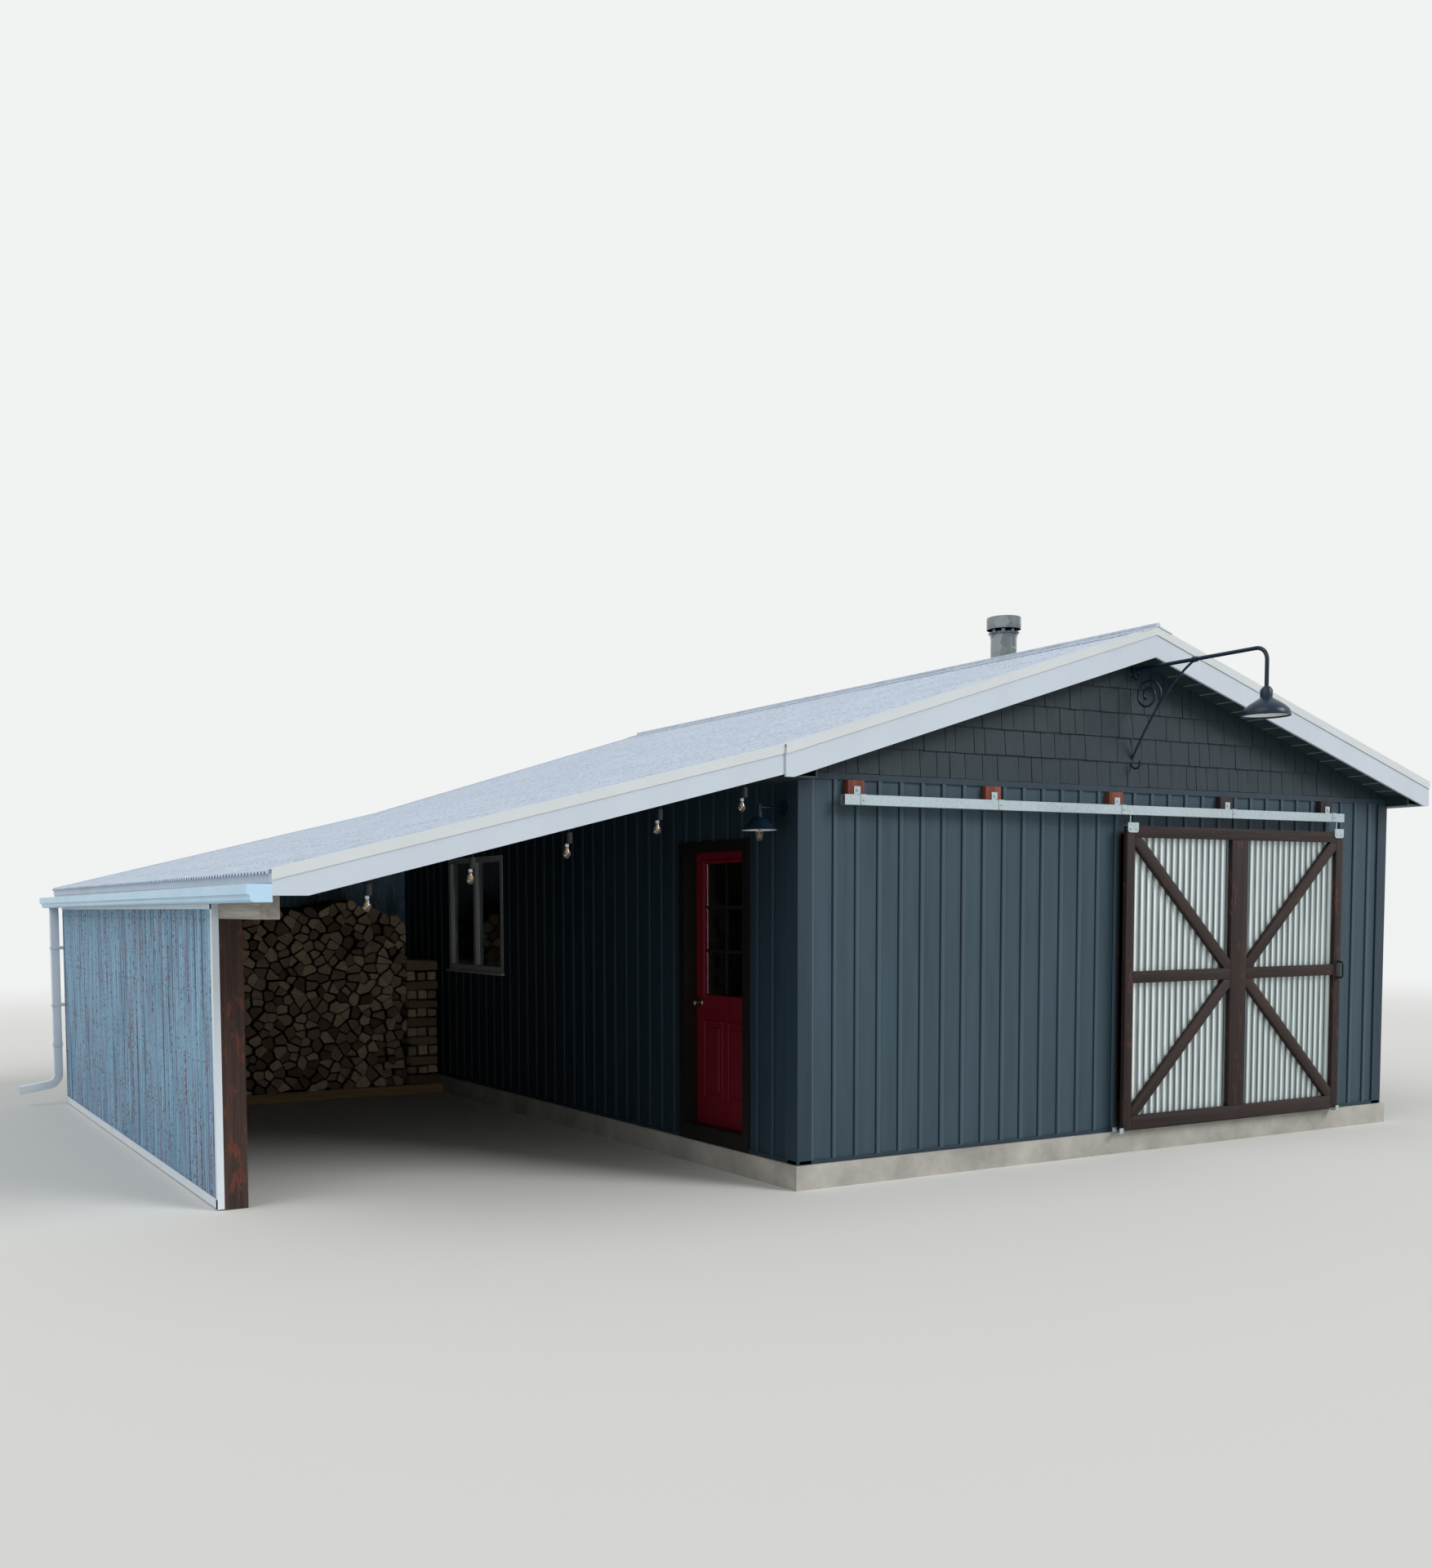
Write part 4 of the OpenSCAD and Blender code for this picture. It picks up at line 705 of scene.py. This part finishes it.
spout = piece("bent_downspout", bm, [trim_white], ["downspout"], smooth=40)
tube_wall = spout.modifiers.new("wall", "SOLIDIFY")
tube_wall.thickness = 0.002
tube_wall.offset = -1.0
bm = bmesh.new()
for z, h, inward in ((0.56, 0.05, 0.045), (1.5, 0.03, 0.079), (0.95, 0.03, 0.079)):
    slab(bm, (spout_x - 0.045, spout_y - 0.035, z), (spout_x + inward, spout_y + 0.035, z + h))
ease(bm, 0.006)
piece("downspout_straps", bm, [trim_white], ["downspout"], smooth=40)

# Sliding door: each board by itself, with eased edges and its own direction of grain
door_low, door_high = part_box("sliding_door_frame")
stile, middle, rail, top_rail, mid_rail, brace = 0.085, 0.185, 0.105, 0.085, 0.088, 0.09
centre_x = (door_low.x + door_high.x) / 2
field_h = (door_high.z - door_low.z - rail - top_rail - mid_rail) / 2
field_w = (door_high.x - door_low.x - 2 * stile - middle) / 2
centre_z = door_low.z + rail + field_h + mid_rail / 2
eased, seam = 0.003, 0.001
y0, y1 = door_low.y, door_high.y
bm = bmesh.new()
slab(bm, door_low, (door_low.x + stile - seam, y1, door_high.z))
slab(bm, (door_high.x - stile + seam, y0, door_low.z), door_high)
slab(bm, (centre_x - middle / 2, y0, door_low.z + rail + seam),
    (centre_x + middle / 2, y1, door_high.z - top_rail - seam))
ease(bm, eased)
piece("door_stiles", bm, [stain_up], ["sliding_door_frame"], "sliding_door", smooth=40)
bm = bmesh.new()
left, right = door_low.x + stile + seam, door_high.x - stile - seam
for low_x, high_x, low_z, high_z in (
    (left, right, door_low.z, door_low.z + rail),
    (left, right, door_high.z - top_rail, door_high.z),
    (left, centre_x - middle / 2 - seam, centre_z - mid_rail / 2, centre_z + mid_rail / 2),
    (centre_x + middle / 2 + seam, right, centre_z - mid_rail / 2, centre_z + mid_rail / 2),
):
    slab(bm, (low_x, y0, low_z), (high_x, y1, high_z))
ease(bm, eased)
piece("door_rails", bm, [stain_level], ["sliding_door_frame"], "sliding_door", smooth=40)
lean = math.atan((field_h + 0.06) / (field_w + 0.06))
for way, label in ((1, "rising"), (-1, "falling")):
    bm = bmesh.new()
    for side in (-1, 1):
        part = bmesh.new()
        field = Vector((centre_x + side * (middle + field_w) / 2, 0,
            centre_z + side * way * (mid_rail + field_h) / 2))
        slab(part, (-1.5, y0, -brace / 2), (1.5, y1, brace / 2),
            shift_to(field) @ Matrix.Rotation(-way * lean, 4, "Y"))
        for out_x, out_z in ((1, 0), (-1, 0), (0, 1), (0, -1)):
            reach = Vector((out_x * (field_w / 2 - seam), 0, out_z * (field_h / 2 - seam)))
            cut_away(part, field + reach, (out_x, 0, out_z))
        ease(part, eased)
        take_in(bm, part)
    stained = timber("dark_stain_" + label, "#33231f", "#1e1614", (0.0, -way * lean, 0.0), "#4a2a21")
    piece("door_braces_" + label, bm, [stained], ["sliding_door_braces"], "sliding_door",
        smooth=40)

# Hangers: a round-cornered plate over the door's top, a bolt up through the track's slot, two pairs of wheels
track_low, track_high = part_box("door_track")
track_y = (track_low.y + track_high.y) / 2
wheel_r, half_w = 0.019, 0.005
axle_z = track_low.z + 0.0033 + wheel_r
plate_w, plate_up, plate_down, plate_t = 0.112, 0.024, 0.05, 0.005
top_z = door_high.z
bm = bmesh.new()
for x in (door_low.x + 0.057, door_high.x - 0.057):
    plate = bmesh.new()
    slab(plate, (x - plate_w / 2, y0 - plate_t, top_z - plate_down), (x + plate_w / 2, y0, top_z + plate_up))
    soften(plate, [e for e in plate.edges if all(v.co.z < top_z for v in e.verts)
        and abs(e.verts[0].co.y - e.verts[1].co.y) > plate_t / 2], 0.022, 5)
    take_in(bm, plate)
    slab(bm, (x - plate_w / 2, y0, top_z), (x + plate_w / 2, y1 + 0.005, top_z + plate_t))
    slab(bm, (x - 0.044, track_y - 0.004, axle_z - 0.008), (x + 0.044, track_y + 0.004, axle_z + 0.008))
    rod(bm, 0.006, axle_z - top_z, shift_to((x, track_y, (top_z + axle_z) / 2)))
    rod(bm, 0.011, 0.009, shift_to((x, track_y, top_z + plate_t + 0.005)), 6)
    for dx in (-0.034, 0.034):
        for side in (-0.014, 0.014):
            turned(bm, [(0.0, -half_w), (0.0175, -half_w), (wheel_r, -0.0035), (wheel_r, 0.0035),
                (0.0175, half_w), (0.0, half_w)], shift_to((x + dx, track_y + side, axle_z)) @ facing_out, 24)
        rod(bm, 0.005, 0.028, shift_to((x + dx, track_y, axle_z)) @ facing_out, 12)
    for dx in (-0.03, 0.03):
        screw(bm, shift_to((x + dx, y0 - plate_t - 0.001, top_z - 0.022)) @ facing_out, 0.007, 0.011)
piece("door_hangers", bm, [zinc_metal], ["sliding_door_hangers"], "sliding_door", smooth=30)

# The pull: a round bar on two posts over a slim plate
bm = bmesh.new()
pull_x, pull_h, stand, round_r = door_high.x - stile / 2, 0.18, 0.055, 0.02
slab(bm, (pull_x - 0.018, y0 - 0.005, centre_z - pull_h / 2), (pull_x + 0.018, y0, centre_z + pull_h / 2))
ease(bm, 0.002)
post_z = centre_z - pull_h / 2 + 0.025
curve = [Vector((pull_x, y0 - 0.004, post_z))]
for a in (0.0, 0.4, 0.8, 1.2, math.pi / 2):
    curve.append(Vector((pull_x, y0 - stand + round_r - round_r * math.sin(a),
        post_z + round_r - round_r * math.cos(a))))
curve += [Vector((pull_x, v.y, 2 * centre_z - v.z)) for v in reversed(curve)]
sweep(bm, curve, Vector((1, 0, 0)), (0.008, 0.008), 12)
for z in (centre_z - pull_h / 2 + 0.012, centre_z + pull_h / 2 - 0.012):
    screw(bm, shift_to((pull_x, y0 - 0.006, z)) @ facing_out, 0.004, 0.006)
piece("door_pull", bm, [black_iron], ["sliding_door_pull"], "sliding_door",
    smooth=40, merge=True)

# Floor guides: a channel that holds the door's foot at each end of the doorway
bm = bmesh.new()
lip_y = (y1 + 0.018 - y0) / 2 + 0.008
for x in (head_low.x - 0.06, head_high.x + 0.025):
    slab(bm, (x - 0.02, track_y - lip_y - 0.003, foot), (x + 0.02, -wall_y, foot + 0.006))
    for y in (track_y - lip_y, track_y + lip_y):
        slab(bm, (x - 0.02, y - 0.003, foot + 0.006), (x + 0.02, y + 0.003, foot + 0.04))
ease(bm, 0.001, 1)
piece("door_foot_guides", bm, [zinc_metal], ["door_guide"], smooth=40)

# Track mounts: three red-brown blocks and two dark ones, each with an angle and a band of zinc plate
mount_low, mount_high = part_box("track_mounts")
block_w, band_t = 0.14, 0.004
block_x = [mount_low.x + block_w / 2 + i * (mount_high.x - mount_low.x - block_w) / 4 for i in range(5)]
block_y = -wall_y - 0.045
for name, finish, places in (("track_blocks", block_wood, block_x[:3]),
        ("track_blocks_dark", block_dark, block_x[3:])):
    bm = bmesh.new()
    for x in places:
        slab(bm, (x - block_w / 2, block_y, track_high.z - 0.04),
            (x + block_w / 2, -wall_y, track_high.z + 0.1))
    ease(bm, 0.003)
    piece(name, bm, [finish], ["track_mounts"], smooth=40)
bm = bmesh.new()
for x in block_x:
    slab(bm, (x - 0.02, block_y - 0.005, track_high.z), (x + 0.035, block_y, track_high.z + 0.06))
    slab(bm, (x - 0.02, track_low.y - band_t, track_high.z), (x + 0.035, block_y, track_high.z + band_t))
    for y in (track_low.y - band_t, track_high.y):
        slab(bm, (x - 0.01, y, track_low.z), (x + 0.035, y + band_t, track_high.z + band_t))
ease(bm, 0.001, 1)
for x in block_x:
    screw(bm, shift_to((x + 0.008, block_y - 0.006, track_high.z + 0.035)) @ facing_out, 0.009, 0.014)
    screw(bm, shift_to((x + 0.012, track_low.y - 0.005, (track_low.z + track_high.z) / 2)) @ facing_out,
        0.006, 0.009)
piece("track_clips", bm, [zinc_metal], ["track_mounts"], smooth=40)

# Entry door: a red leaf with raised mouldings round two low panels and a tall light of six panes
glass_low, glass_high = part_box("entry_door_glass")
leaf_low, leaf_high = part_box("entry_door_leaf")
face_x = leaf_low.x
back_x = -wall_x + 0.14
knuckle_r, sliver = 0.007, 0.0003
knuckle_y = leaf_low.y + knuckle_r
edge_y = knuckle_y + 0.0035
light_low = glass_low - Vector((0, sliver, sliver))
light_high = Vector((glass_high.x, glass_high.y + sliver, leaf_high.z - 0.09))
moulding = 0.024
bm = bmesh.new()
for low_y, high_y, low_z, high_z in (
    (edge_y, leaf_high.y, leaf_low.z, light_low.z),
    (edge_y, light_low.y, light_low.z, light_high.z),
    (light_high.y, leaf_high.y, light_low.z, light_high.z),
    (edge_y, leaf_high.y, light_high.z, leaf_high.z),
):
    slab(bm, (face_x, low_y, low_z), (back_x, high_y, high_z))
bmesh.ops.remove_doubles(bm, verts=bm.verts[:], dist=0.00001)


def raised(blocks, proud, round_r):
    """Rounded blocks proud of the leaf's outer face, each with its span along the wall and in height."""
    part = bmesh.new()
    for low_y, high_y, low_z, high_z in blocks:
        slab(part, (face_x - proud, low_y, low_z), (face_x, high_y, high_z))
    soften(part, [e for e in part.edges if all(v.co.x < face_x - proud / 2 for v in e.verts)], round_r, 3)
    take_in(bm, part)


def raised_frame(low_y, high_y, low_z, high_z, proud):
    """A bevelled moulding that runs round a panel or the light."""
    inner_low, inner_high = low_y + moulding, high_y - moulding
    raised([(low_y, inner_low, low_z, high_z), (inner_high, high_y, low_z, high_z),
        (inner_low, inner_high, low_z, low_z + moulding),
        (inner_low, inner_high, high_z - moulding, high_z)], proud, proud * 0.6)


raised_frame(light_low.y - moulding, light_high.y + moulding, light_low.z - moulding,
    light_high.z + moulding, 0.012)
panel_w = (leaf_high.y - edge_y - 0.28) / 2
for low_y in (edge_y + 0.11, leaf_high.y - 0.11 - panel_w):
    raised_frame(low_y, low_y + panel_w, leaf_low.z + 0.2, leaf_low.z + 0.77, 0.009)
    raised([(low_y + 0.05, low_y + panel_w - 0.05, leaf_low.z + 0.25, leaf_low.z + 0.72)], 0.008, 0.007)
piece("entry_leaf", bm, [red_paint], ["entry_door_leaf"], "entry_door")
bm = bmesh.new()
knuckle_x, hinge_h = back_x + 0.009, 0.09
for z in (leaf_low.z + 0.18, (leaf_low.z + leaf_high.z) / 2 - 0.045, leaf_high.z - 0.27):
    low = z + hinge_h / 2 + sliver
    rod(bm, knuckle_r, 0.045, shift_to((knuckle_x, knuckle_y, low + 0.0225)))
    slab(bm, (back_x, knuckle_y + 0.0065, low), (back_x + 0.0025, knuckle_y + 0.04, z + hinge_h))
    slab(bm, (back_x, knuckle_y + 0.004, low), (knuckle_x, knuckle_y + 0.0065, z + hinge_h))
piece("entry_leaf_hinges", bm, [zinc_metal], ["entry_door_leaf"], "entry_door", smooth=30)
bm = bmesh.new()
slab(bm, (glass_low.x, light_low.y + sliver, light_low.z + sliver),
    (glass_high.x, light_high.y - sliver, light_high.z - sliver))
piece("entry_light_glass", bm, [pane_glass], ["entry_door_glass"], "entry_door")
bm = bmesh.new()
bar_w, bar_t = 0.02, 0.0088
middle_y = (light_low.y + light_high.y) / 2
for x in (glass_low.x - 0.009, glass_high.x + 0.0002):
    for i in (1, 2):
        z = light_low.z + i * (light_high.z - light_low.z) / 3
        slab(bm, (x, light_low.y, z - bar_w / 2), (x + bar_t, light_high.y, z + bar_w / 2))
    slab(bm, (x + 0.0004, middle_y - bar_w / 2, light_low.z),
        (x + bar_t - 0.0004, middle_y + bar_w / 2, light_high.z))
ease(bm, 0.002)
piece("entry_door_bars", bm, [black_iron], body="entry_door", smooth=40)

# Firewood: split logs packed as they settle, their cut ends to the front
wood_low, wood_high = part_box("firewood_stack")
log_size = 0.118
log_step, row_step = log_size * 1.15, log_size * 0.66
lean_depth = 0.1816
lean_under = fold_z - lean_depth
end_x = wood_high.x - 0.33
end_top = wood_low.z + 1.22
half = (wood_high.y - wood_low.y) / 2


def stack_top(x):
    """The stack's top, clear of the rafters that rise towards the house."""
    rise = min(wood_low.z + 1.88, lean_under - lean_pitch * (fold_x - x) - 0.06)
    return rise - 0.04 * abs(math.sin(x * 3.1)) - 0.09 * max(0.0, (x - end_x + 0.6) / 0.6)


rows = int(1.9 / row_step) + 3
cols = int((end_x - wood_low.x) / log_step) + 2
seeds = {}
for r in range(-1, rows):
    for c in range(-1, cols):
        seeds[r, c] = Vector((wood_low.x + (c + 0.5 * (r % 2) + dice.uniform(-0.4, 0.4)) * log_step, 0.0,
            wood_low.z + (r + 0.4 + dice.uniform(-0.36, 0.36)) * row_step))
bm = bmesh.new()
tones = []


def lay(log, moves, palest, end_axis):
    """Puts a log into the stack, with its cut ends marked and its own tone for each copy."""
    for face in log.faces:
        face.material_index = 1 if abs(face.normal[end_axis]) > 0.9 else 0
    for span in take_in(bm, log, moves):
        tones.append((span, dice.uniform(palest, 1.0)))


for (r, c), seed in seeds.items():
    if not (wood_low.x < seed.x < end_x and wood_low.z < seed.z < stack_top(seed.x) - 0.05):
        continue
    front = wood_low.y + dice.uniform(0.0, 0.09)
    log = bmesh.new()
    bmesh.ops.create_grid(log, x_segments=1, y_segments=1, size=log_size * 1.3,
        matrix=shift_to((seed.x, front, seed.z)) @ facing_out)
    for dr in range(-3, 4):
        for dc in range(-2, 3):
            other = seeds.get((r + dr, c + dc))
            if other is None or other is seed:
                continue
            away = other - seed
            gap = away.normalized() * dice.uniform(0.003, 0.012)
            clip(log, Vector((0, front, 0)) + (seed + other) / 2 - gap, away)
    for outward, at in (((-1, 0, 0), (wood_low.x, 0, 0)), ((1, 0, 0), (end_x, 0, 0)),
            ((0, 0, -1), (0, 0, wood_low.z)), ((0, 0, 1), (0, 0, stack_top(seed.x) + 0.03))):
        clip(log, at, outward)
    round_off = 0.024 if seed.z > wood_low.z + 1.1 else 0.004
    bmesh.ops.bevel(log, geom=log.verts[:], offset=round_off, offset_type="OFFSET", affect="VERTICES",
        segments=2, profile=0.5, material=-1, clamp_overlap=True)
    grown = bmesh.ops.extrude_face_region(log, geom=log.faces[:])["geom"]
    bmesh.ops.translate(log, verts=[g for g in grown if isinstance(g, bmesh.types.BMVert)],
        vec=(0, half - 0.1, 0))
    bmesh.ops.recalc_face_normals(log, faces=log.faces[:])
    lay(log, (Matrix(), shift_to((0, half, 0))), 0.12, 1)

# The crossed logs at the stack's inner end: layers laid along the stack and across it in turn
level = wood_low.z
crossed = True
while level < end_top:
    tall = dice.uniform(0.075, 0.115)
    count = 6 if crossed else 3
    for i in range(count):
        log = bmesh.new()
        squeeze = dice.uniform(0.8, 0.98)
        if crossed:
            deep = 2 * half / count
            slab(log, (end_x + dice.uniform(0.0, 0.03), wood_low.y + i * deep + 0.004, level),
                (wood_high.x - dice.uniform(0.0, 0.02), wood_low.y + (i + squeeze) * deep, level + tall))
        else:
            wide = (wood_high.x - end_x) / count
            slab(log, (end_x + i * wide + 0.004, wood_low.y + dice.uniform(0.0, 0.04), level),
                (end_x + (i + squeeze) * wide, wood_high.y, level + tall))
        for v in log.verts:
            low_end = v.co.z < level + 0.01
            v.co += Vector((dice.uniform(-0.006, 0.006), dice.uniform(0.0, 0.01),
                0.0 if low_end else dice.uniform(-0.02, 0.0)))
        soften(log, log.edges, 0.012)
        lay(log, (Matrix(),), 0.4, 0 if crossed else 1)
    level += tall + 0.002
    crossed = not crossed
layer = bm.faces.layers.float.new("log_tone")
bm.faces.ensure_lookup_table()
for span, value in tones:
    for i in span:
        bm.faces[i][layer] = value
piece("stacked_logs", bm, [log_side, log_end], ["firewood_stack"])

# Gable lamp: a plate, a pipe arm bent down over a deep shade, and a bowed strut that carries a volute
lamp_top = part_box("gable_lamp")[1].z
reach, shade_r, shade_h = 1.185, 0.16, 0.124
shade_rim, shade_neck = 0.01, 0.04
arm_z = lamp_top - 0.04
plate_foot = lamp_top - 0.754
brim = Vector((0.0, -wall_y - reach, lamp_top - 0.51))
pipe, arm_bend, iron = 0.014, 0.09, 0.009
strut_run, strut_rise, knee_rise = 0.58, 0.674, 0.523
sideways = Vector((1, 0, 0))


def angles(start, step, count):
    return [math.radians(start + step * i) for i in range(count)]


def on_wall(out, up):
    """A point in the lamp's plane: so far out from the gable, so far above the plate's foot."""
    return Vector((0.0, -wall_y - out, plate_foot + 0.04 + up))


def dome(skin=0.0):
    """Points of the deep round shade from its rim to its neck, or of a skin inside it."""
    r, high = shade_r - skin, shade_h - skin
    points = [(r, 0.0)]
    for a in angles(0, 9, 11):
        points.append((shade_neck + (r - shade_neck) * max(math.cos(a), 0.0) ** 2.5,
            shade_rim + (high - shade_rim) * math.sin(a)))
    return points


def scroll(bm, centre_out, centre_up, radius, tighten, turns, bar, sides):
    """A curl of round bar in the lamp's plane, tighter by an amount at each step."""
    path = []
    for i, a in enumerate(turns):
        r = radius - tighten * i
        path.append(on_wall(centre_out + r * math.cos(a), centre_up + r * math.sin(a)))
    sweep(bm, path, sideways, (bar, bar), sides)


bm = bmesh.new()
slab(bm, (-0.014, -wall_y - 0.008, plate_foot), (0.014, -wall_y, lamp_top))
ease(bm, 0.002)
arm = [Vector((0, -wall_y, arm_z))]
for a in angles(0, 10, 10):
    arm.append(Vector((0, brim.y + arm_bend * (1 - math.sin(a)), arm_z - arm_bend * (1 - math.cos(a)))))
sweep(bm, arm + [Vector((0, brim.y, brim.z + shade_h + 0.05))], sideways, (pipe, pipe), 20)
strut = []
for t in [i / 20 for i in range(21)]:
    strut.append(on_wall(0.006 + strut_run * t, 2 * t * (1 - t) * knee_rise + t * t * strut_rise))
sweep(bm, strut, sideways, (iron, iron), 12)
scroll(bm, 0.156, 0.47, 0.128, 0.1 / 55, angles(-45, 12, 56), iron * 0.85, 10)
scroll(bm, 0.052, -0.02, 0.04, 0.0, angles(180, 10, 22), iron * 0.8, 10)
scroll(bm, 0.05, strut_rise - 0.05, 0.036, 0.001, angles(90, 15, 26), iron * 0.6, 8)
for out in (strut_run, 0.02):
    turned(bm, [(pipe, -0.018), (pipe + 0.007, -0.016), (pipe + 0.007, 0.016), (pipe, 0.018)],
        shift_to((0, -wall_y - out, arm_z)) @ facing_out, 24)
outer = dome()
neck = [(0.041, 0.05), (0.03, 0.066), (0.016, 0.078), (0.0, 0.078), (0.0, -0.004)]
turned(bm, outer + [(r, shade_h + up) for r, up in neck] + dome(0.003)[::-1] + outer[:1], shift_to(brim), 56)
turned(bm, [(shade_r - 0.001, -0.003), (shade_r + 0.003, 0.0), (shade_r - 0.001, 0.004),
    (shade_r - 0.004, 0.0), (shade_r - 0.001, -0.003)], shift_to(brim), 56)
for up in (0.05, 0.66):
    screw(bm, shift_to((0, -wall_y - 0.009, plate_foot + up)) @ facing_out, 0.006, 0.009)
piece("gooseneck_lamp", bm, [lamp_enamel], ["gable_lamp"], smooth=40, merge=True)

# White enamel inside both shades
bm = bmesh.new()
inside = dome(0.0034)
wall = [(a - 0.001, b - 0.001) for a, b in reversed(inside)]
turned(bm, inside[1:] + [(0.0, shade_h - 0.0045), (0.0, shade_h - 0.0055)] + wall[:-1] + [inside[1]],
    shift_to(brim), 48)
piece("gable_lamp_lining", bm, [lamp_white], smooth=30, merge=True)
lamp_at = Vector((-wall_x - 0.2, -wall_y + 0.16, foot + 2.22))
bm = bmesh.new()
r, rim, skin = 0.12, 0.006, 0.0032
inside = [(r - skin, 0.001), (r - skin, rim), (r * 0.82 - skin, rim + 0.011), (r * 0.45 - skin, rim + 0.0578),
    (r * 0.16, rim + 0.0655)]
wall = [(a - 0.001, b - 0.001) for a, b in reversed(inside)]
turned(bm, inside + wall + [inside[0]], shift_to(lamp_at), 48)
piece("wall_lamp_lining", bm, [lamp_white], smooth=30, merge=True)

# Lamp glass with a filament in each: in both lamps, and five along the lean-to's front under its roof
sheet_t, deck_t, board_h, socket_h = 0.019, 0.022, 0.14, 0.09
first_bulb_x, bulb_step = -6.05, 0.616
drops = [(lamp_at + Vector((0, 0, 0.0717)), 0.030, 0.145), (brim + Vector((0, 0, 0.118)), 0.024, 0.108)]
for i in range(5):
    x = first_bulb_x + i * bulb_step
    z = fold_z - lean_pitch * (fold_x - x) - sheet_t * math.hypot(1, lean_pitch) - deck_t - board_h - socket_h
    drops.append((Vector((x, lean_low.y + 0.039, z)), 0.025, 0.088))
glass, wires, caps = bmesh.new(), bmesh.new(), bmesh.new()
for at, r, h in drops:
    place = shift_to(at)
    shape = [(r * wide, r * up - h) for wide, up in ((0, 0), (0.5, 0.16), (0.88, 0.55), (1, 1), (0.93, 1.5),
        (0.66, 2.1), (0.5, 2.6))]
    hollow = [(max(a - 0.001, 0.0), b + 0.001) for a, b in shape] + [(r * 0.5 - 0.001, -0.018)]
    turned(glass, shape + [(r * 0.5, -0.018)] + hollow[::-1], place, 24)
    turned(caps, [(0.0, 0.0), (r * 0.5, 0.0), (r * 0.5, -0.018), (0.0, -0.018)], place, 16)
    turned(wires, [(0.0, -h * 0.3), (0.002, -h * 0.3), (0.0045, -h * 0.72), (0.0, -h * 0.72)], place, 8)
for name, bm, finish, smooth in (("bulb_envelopes", glass, bulb_glass, 50), ("bulb_caps", caps, zinc_metal, 30),
        ("bulb_filaments", wires, filament, 30)):
    piece(name, bm, [finish], ["lamp_bulbs"], smooth=smooth, merge=True)

# Stage: a pale floor and backdrop, two broad lamps, and the camera


def seen(owner):
    """One for what the camera sees, straight or in gloss or glass, and zero for light on the part."""
    rays = add(owner, "LightPath").outputs
    gloss = add(owner, "Math", {0: rays["Is Camera Ray"], 1: rays["Is Glossy Ray"]}, operation="MAXIMUM")
    return add(owner, "Math", {0: gloss, 1: rays["Is Transmission Ray"]}, operation="MAXIMUM")


bm = bmesh.new()
bmesh.ops.create_grid(bm, x_segments=1, y_segments=1, size=60.0)
floor = linked("studio_floor", bm)
paint, matt, place, node = begin("studio_floor_paint", {"Roughness": 0.9, "Base Color": "#d9d8d4"})
# Far from the building the floor turns into the pale backdrop, for what the camera, gloss and glass see
length = node("VectorMath", {0: place}, operation="LENGTH")
far = node("MapRange", {"Value": length, "From Min": 12.0, "From Max": 30.0},
    interpolation_type="SMOOTHSTEP")
fade = node("Math", {0: far, 1: seen(paint)}, operation="MULTIPLY")
backdrop = node("Emission", {"Color": "#f1f2f2", "Strength": 1.0})
ground = node("MixShader", {0: fade, 1: matt, 2: backdrop})
plug(paint.node_tree.nodes["Material Output"], {"Surface": ground})
floor.data.materials.append(paint)

world = bpy.data.worlds.new("studio")
bpy.context.scene.world = world
world.use_nodes = True
sky = world.node_tree.nodes["Background"]
plug(sky, {"Color": "#e9edf0", "Strength": 0.55})
backdrop = add(world, "Background", {"Color": "#f1f2f2", "Strength": 1.0})
around = add(world, "MixShader", {0: seen(world), 1: sky, 2: backdrop})
plug(world.node_tree.nodes["World Output"], {"Surface": around})


def studio_lamp(name, towards, strength, spread):
    """A broad distant lamp that shines towards a direction."""
    light = bpy.data.lights.new(name, "SUN")
    light.energy = strength
    light.angle = math.radians(spread)
    lamp = bpy.data.objects.new(name, light)
    lamp.rotation_euler = Vector(towards).to_track_quat("-Z", "Y").to_euler()
    bpy.context.scene.collection.objects.link(lamp)


studio_lamp("key_lamp", (-0.55, 0.75, -0.62), 1.7, 25)
studio_lamp("fill_lamp", (0.8, 0.15, -0.85), 0.9, 50)

camera = bpy.data.cameras.new("photo_camera")
camera.lens = 34.276
camera.shift_x = 0.05056
camera.shift_y = 0.13582
camera.clip_end = 300.0
photo = bpy.data.objects.new("photo_camera", camera)
photo.location = (-8.7797, -11.7187, 1.8896)
photo.rotation_euler = [math.radians(a) for a in (86.5171, 0.2870, -29.2463)]
bpy.context.scene.collection.objects.link(photo)
bpy.context.scene.camera = photo
bpy.context.scene.view_settings.view_transform = "Standard"
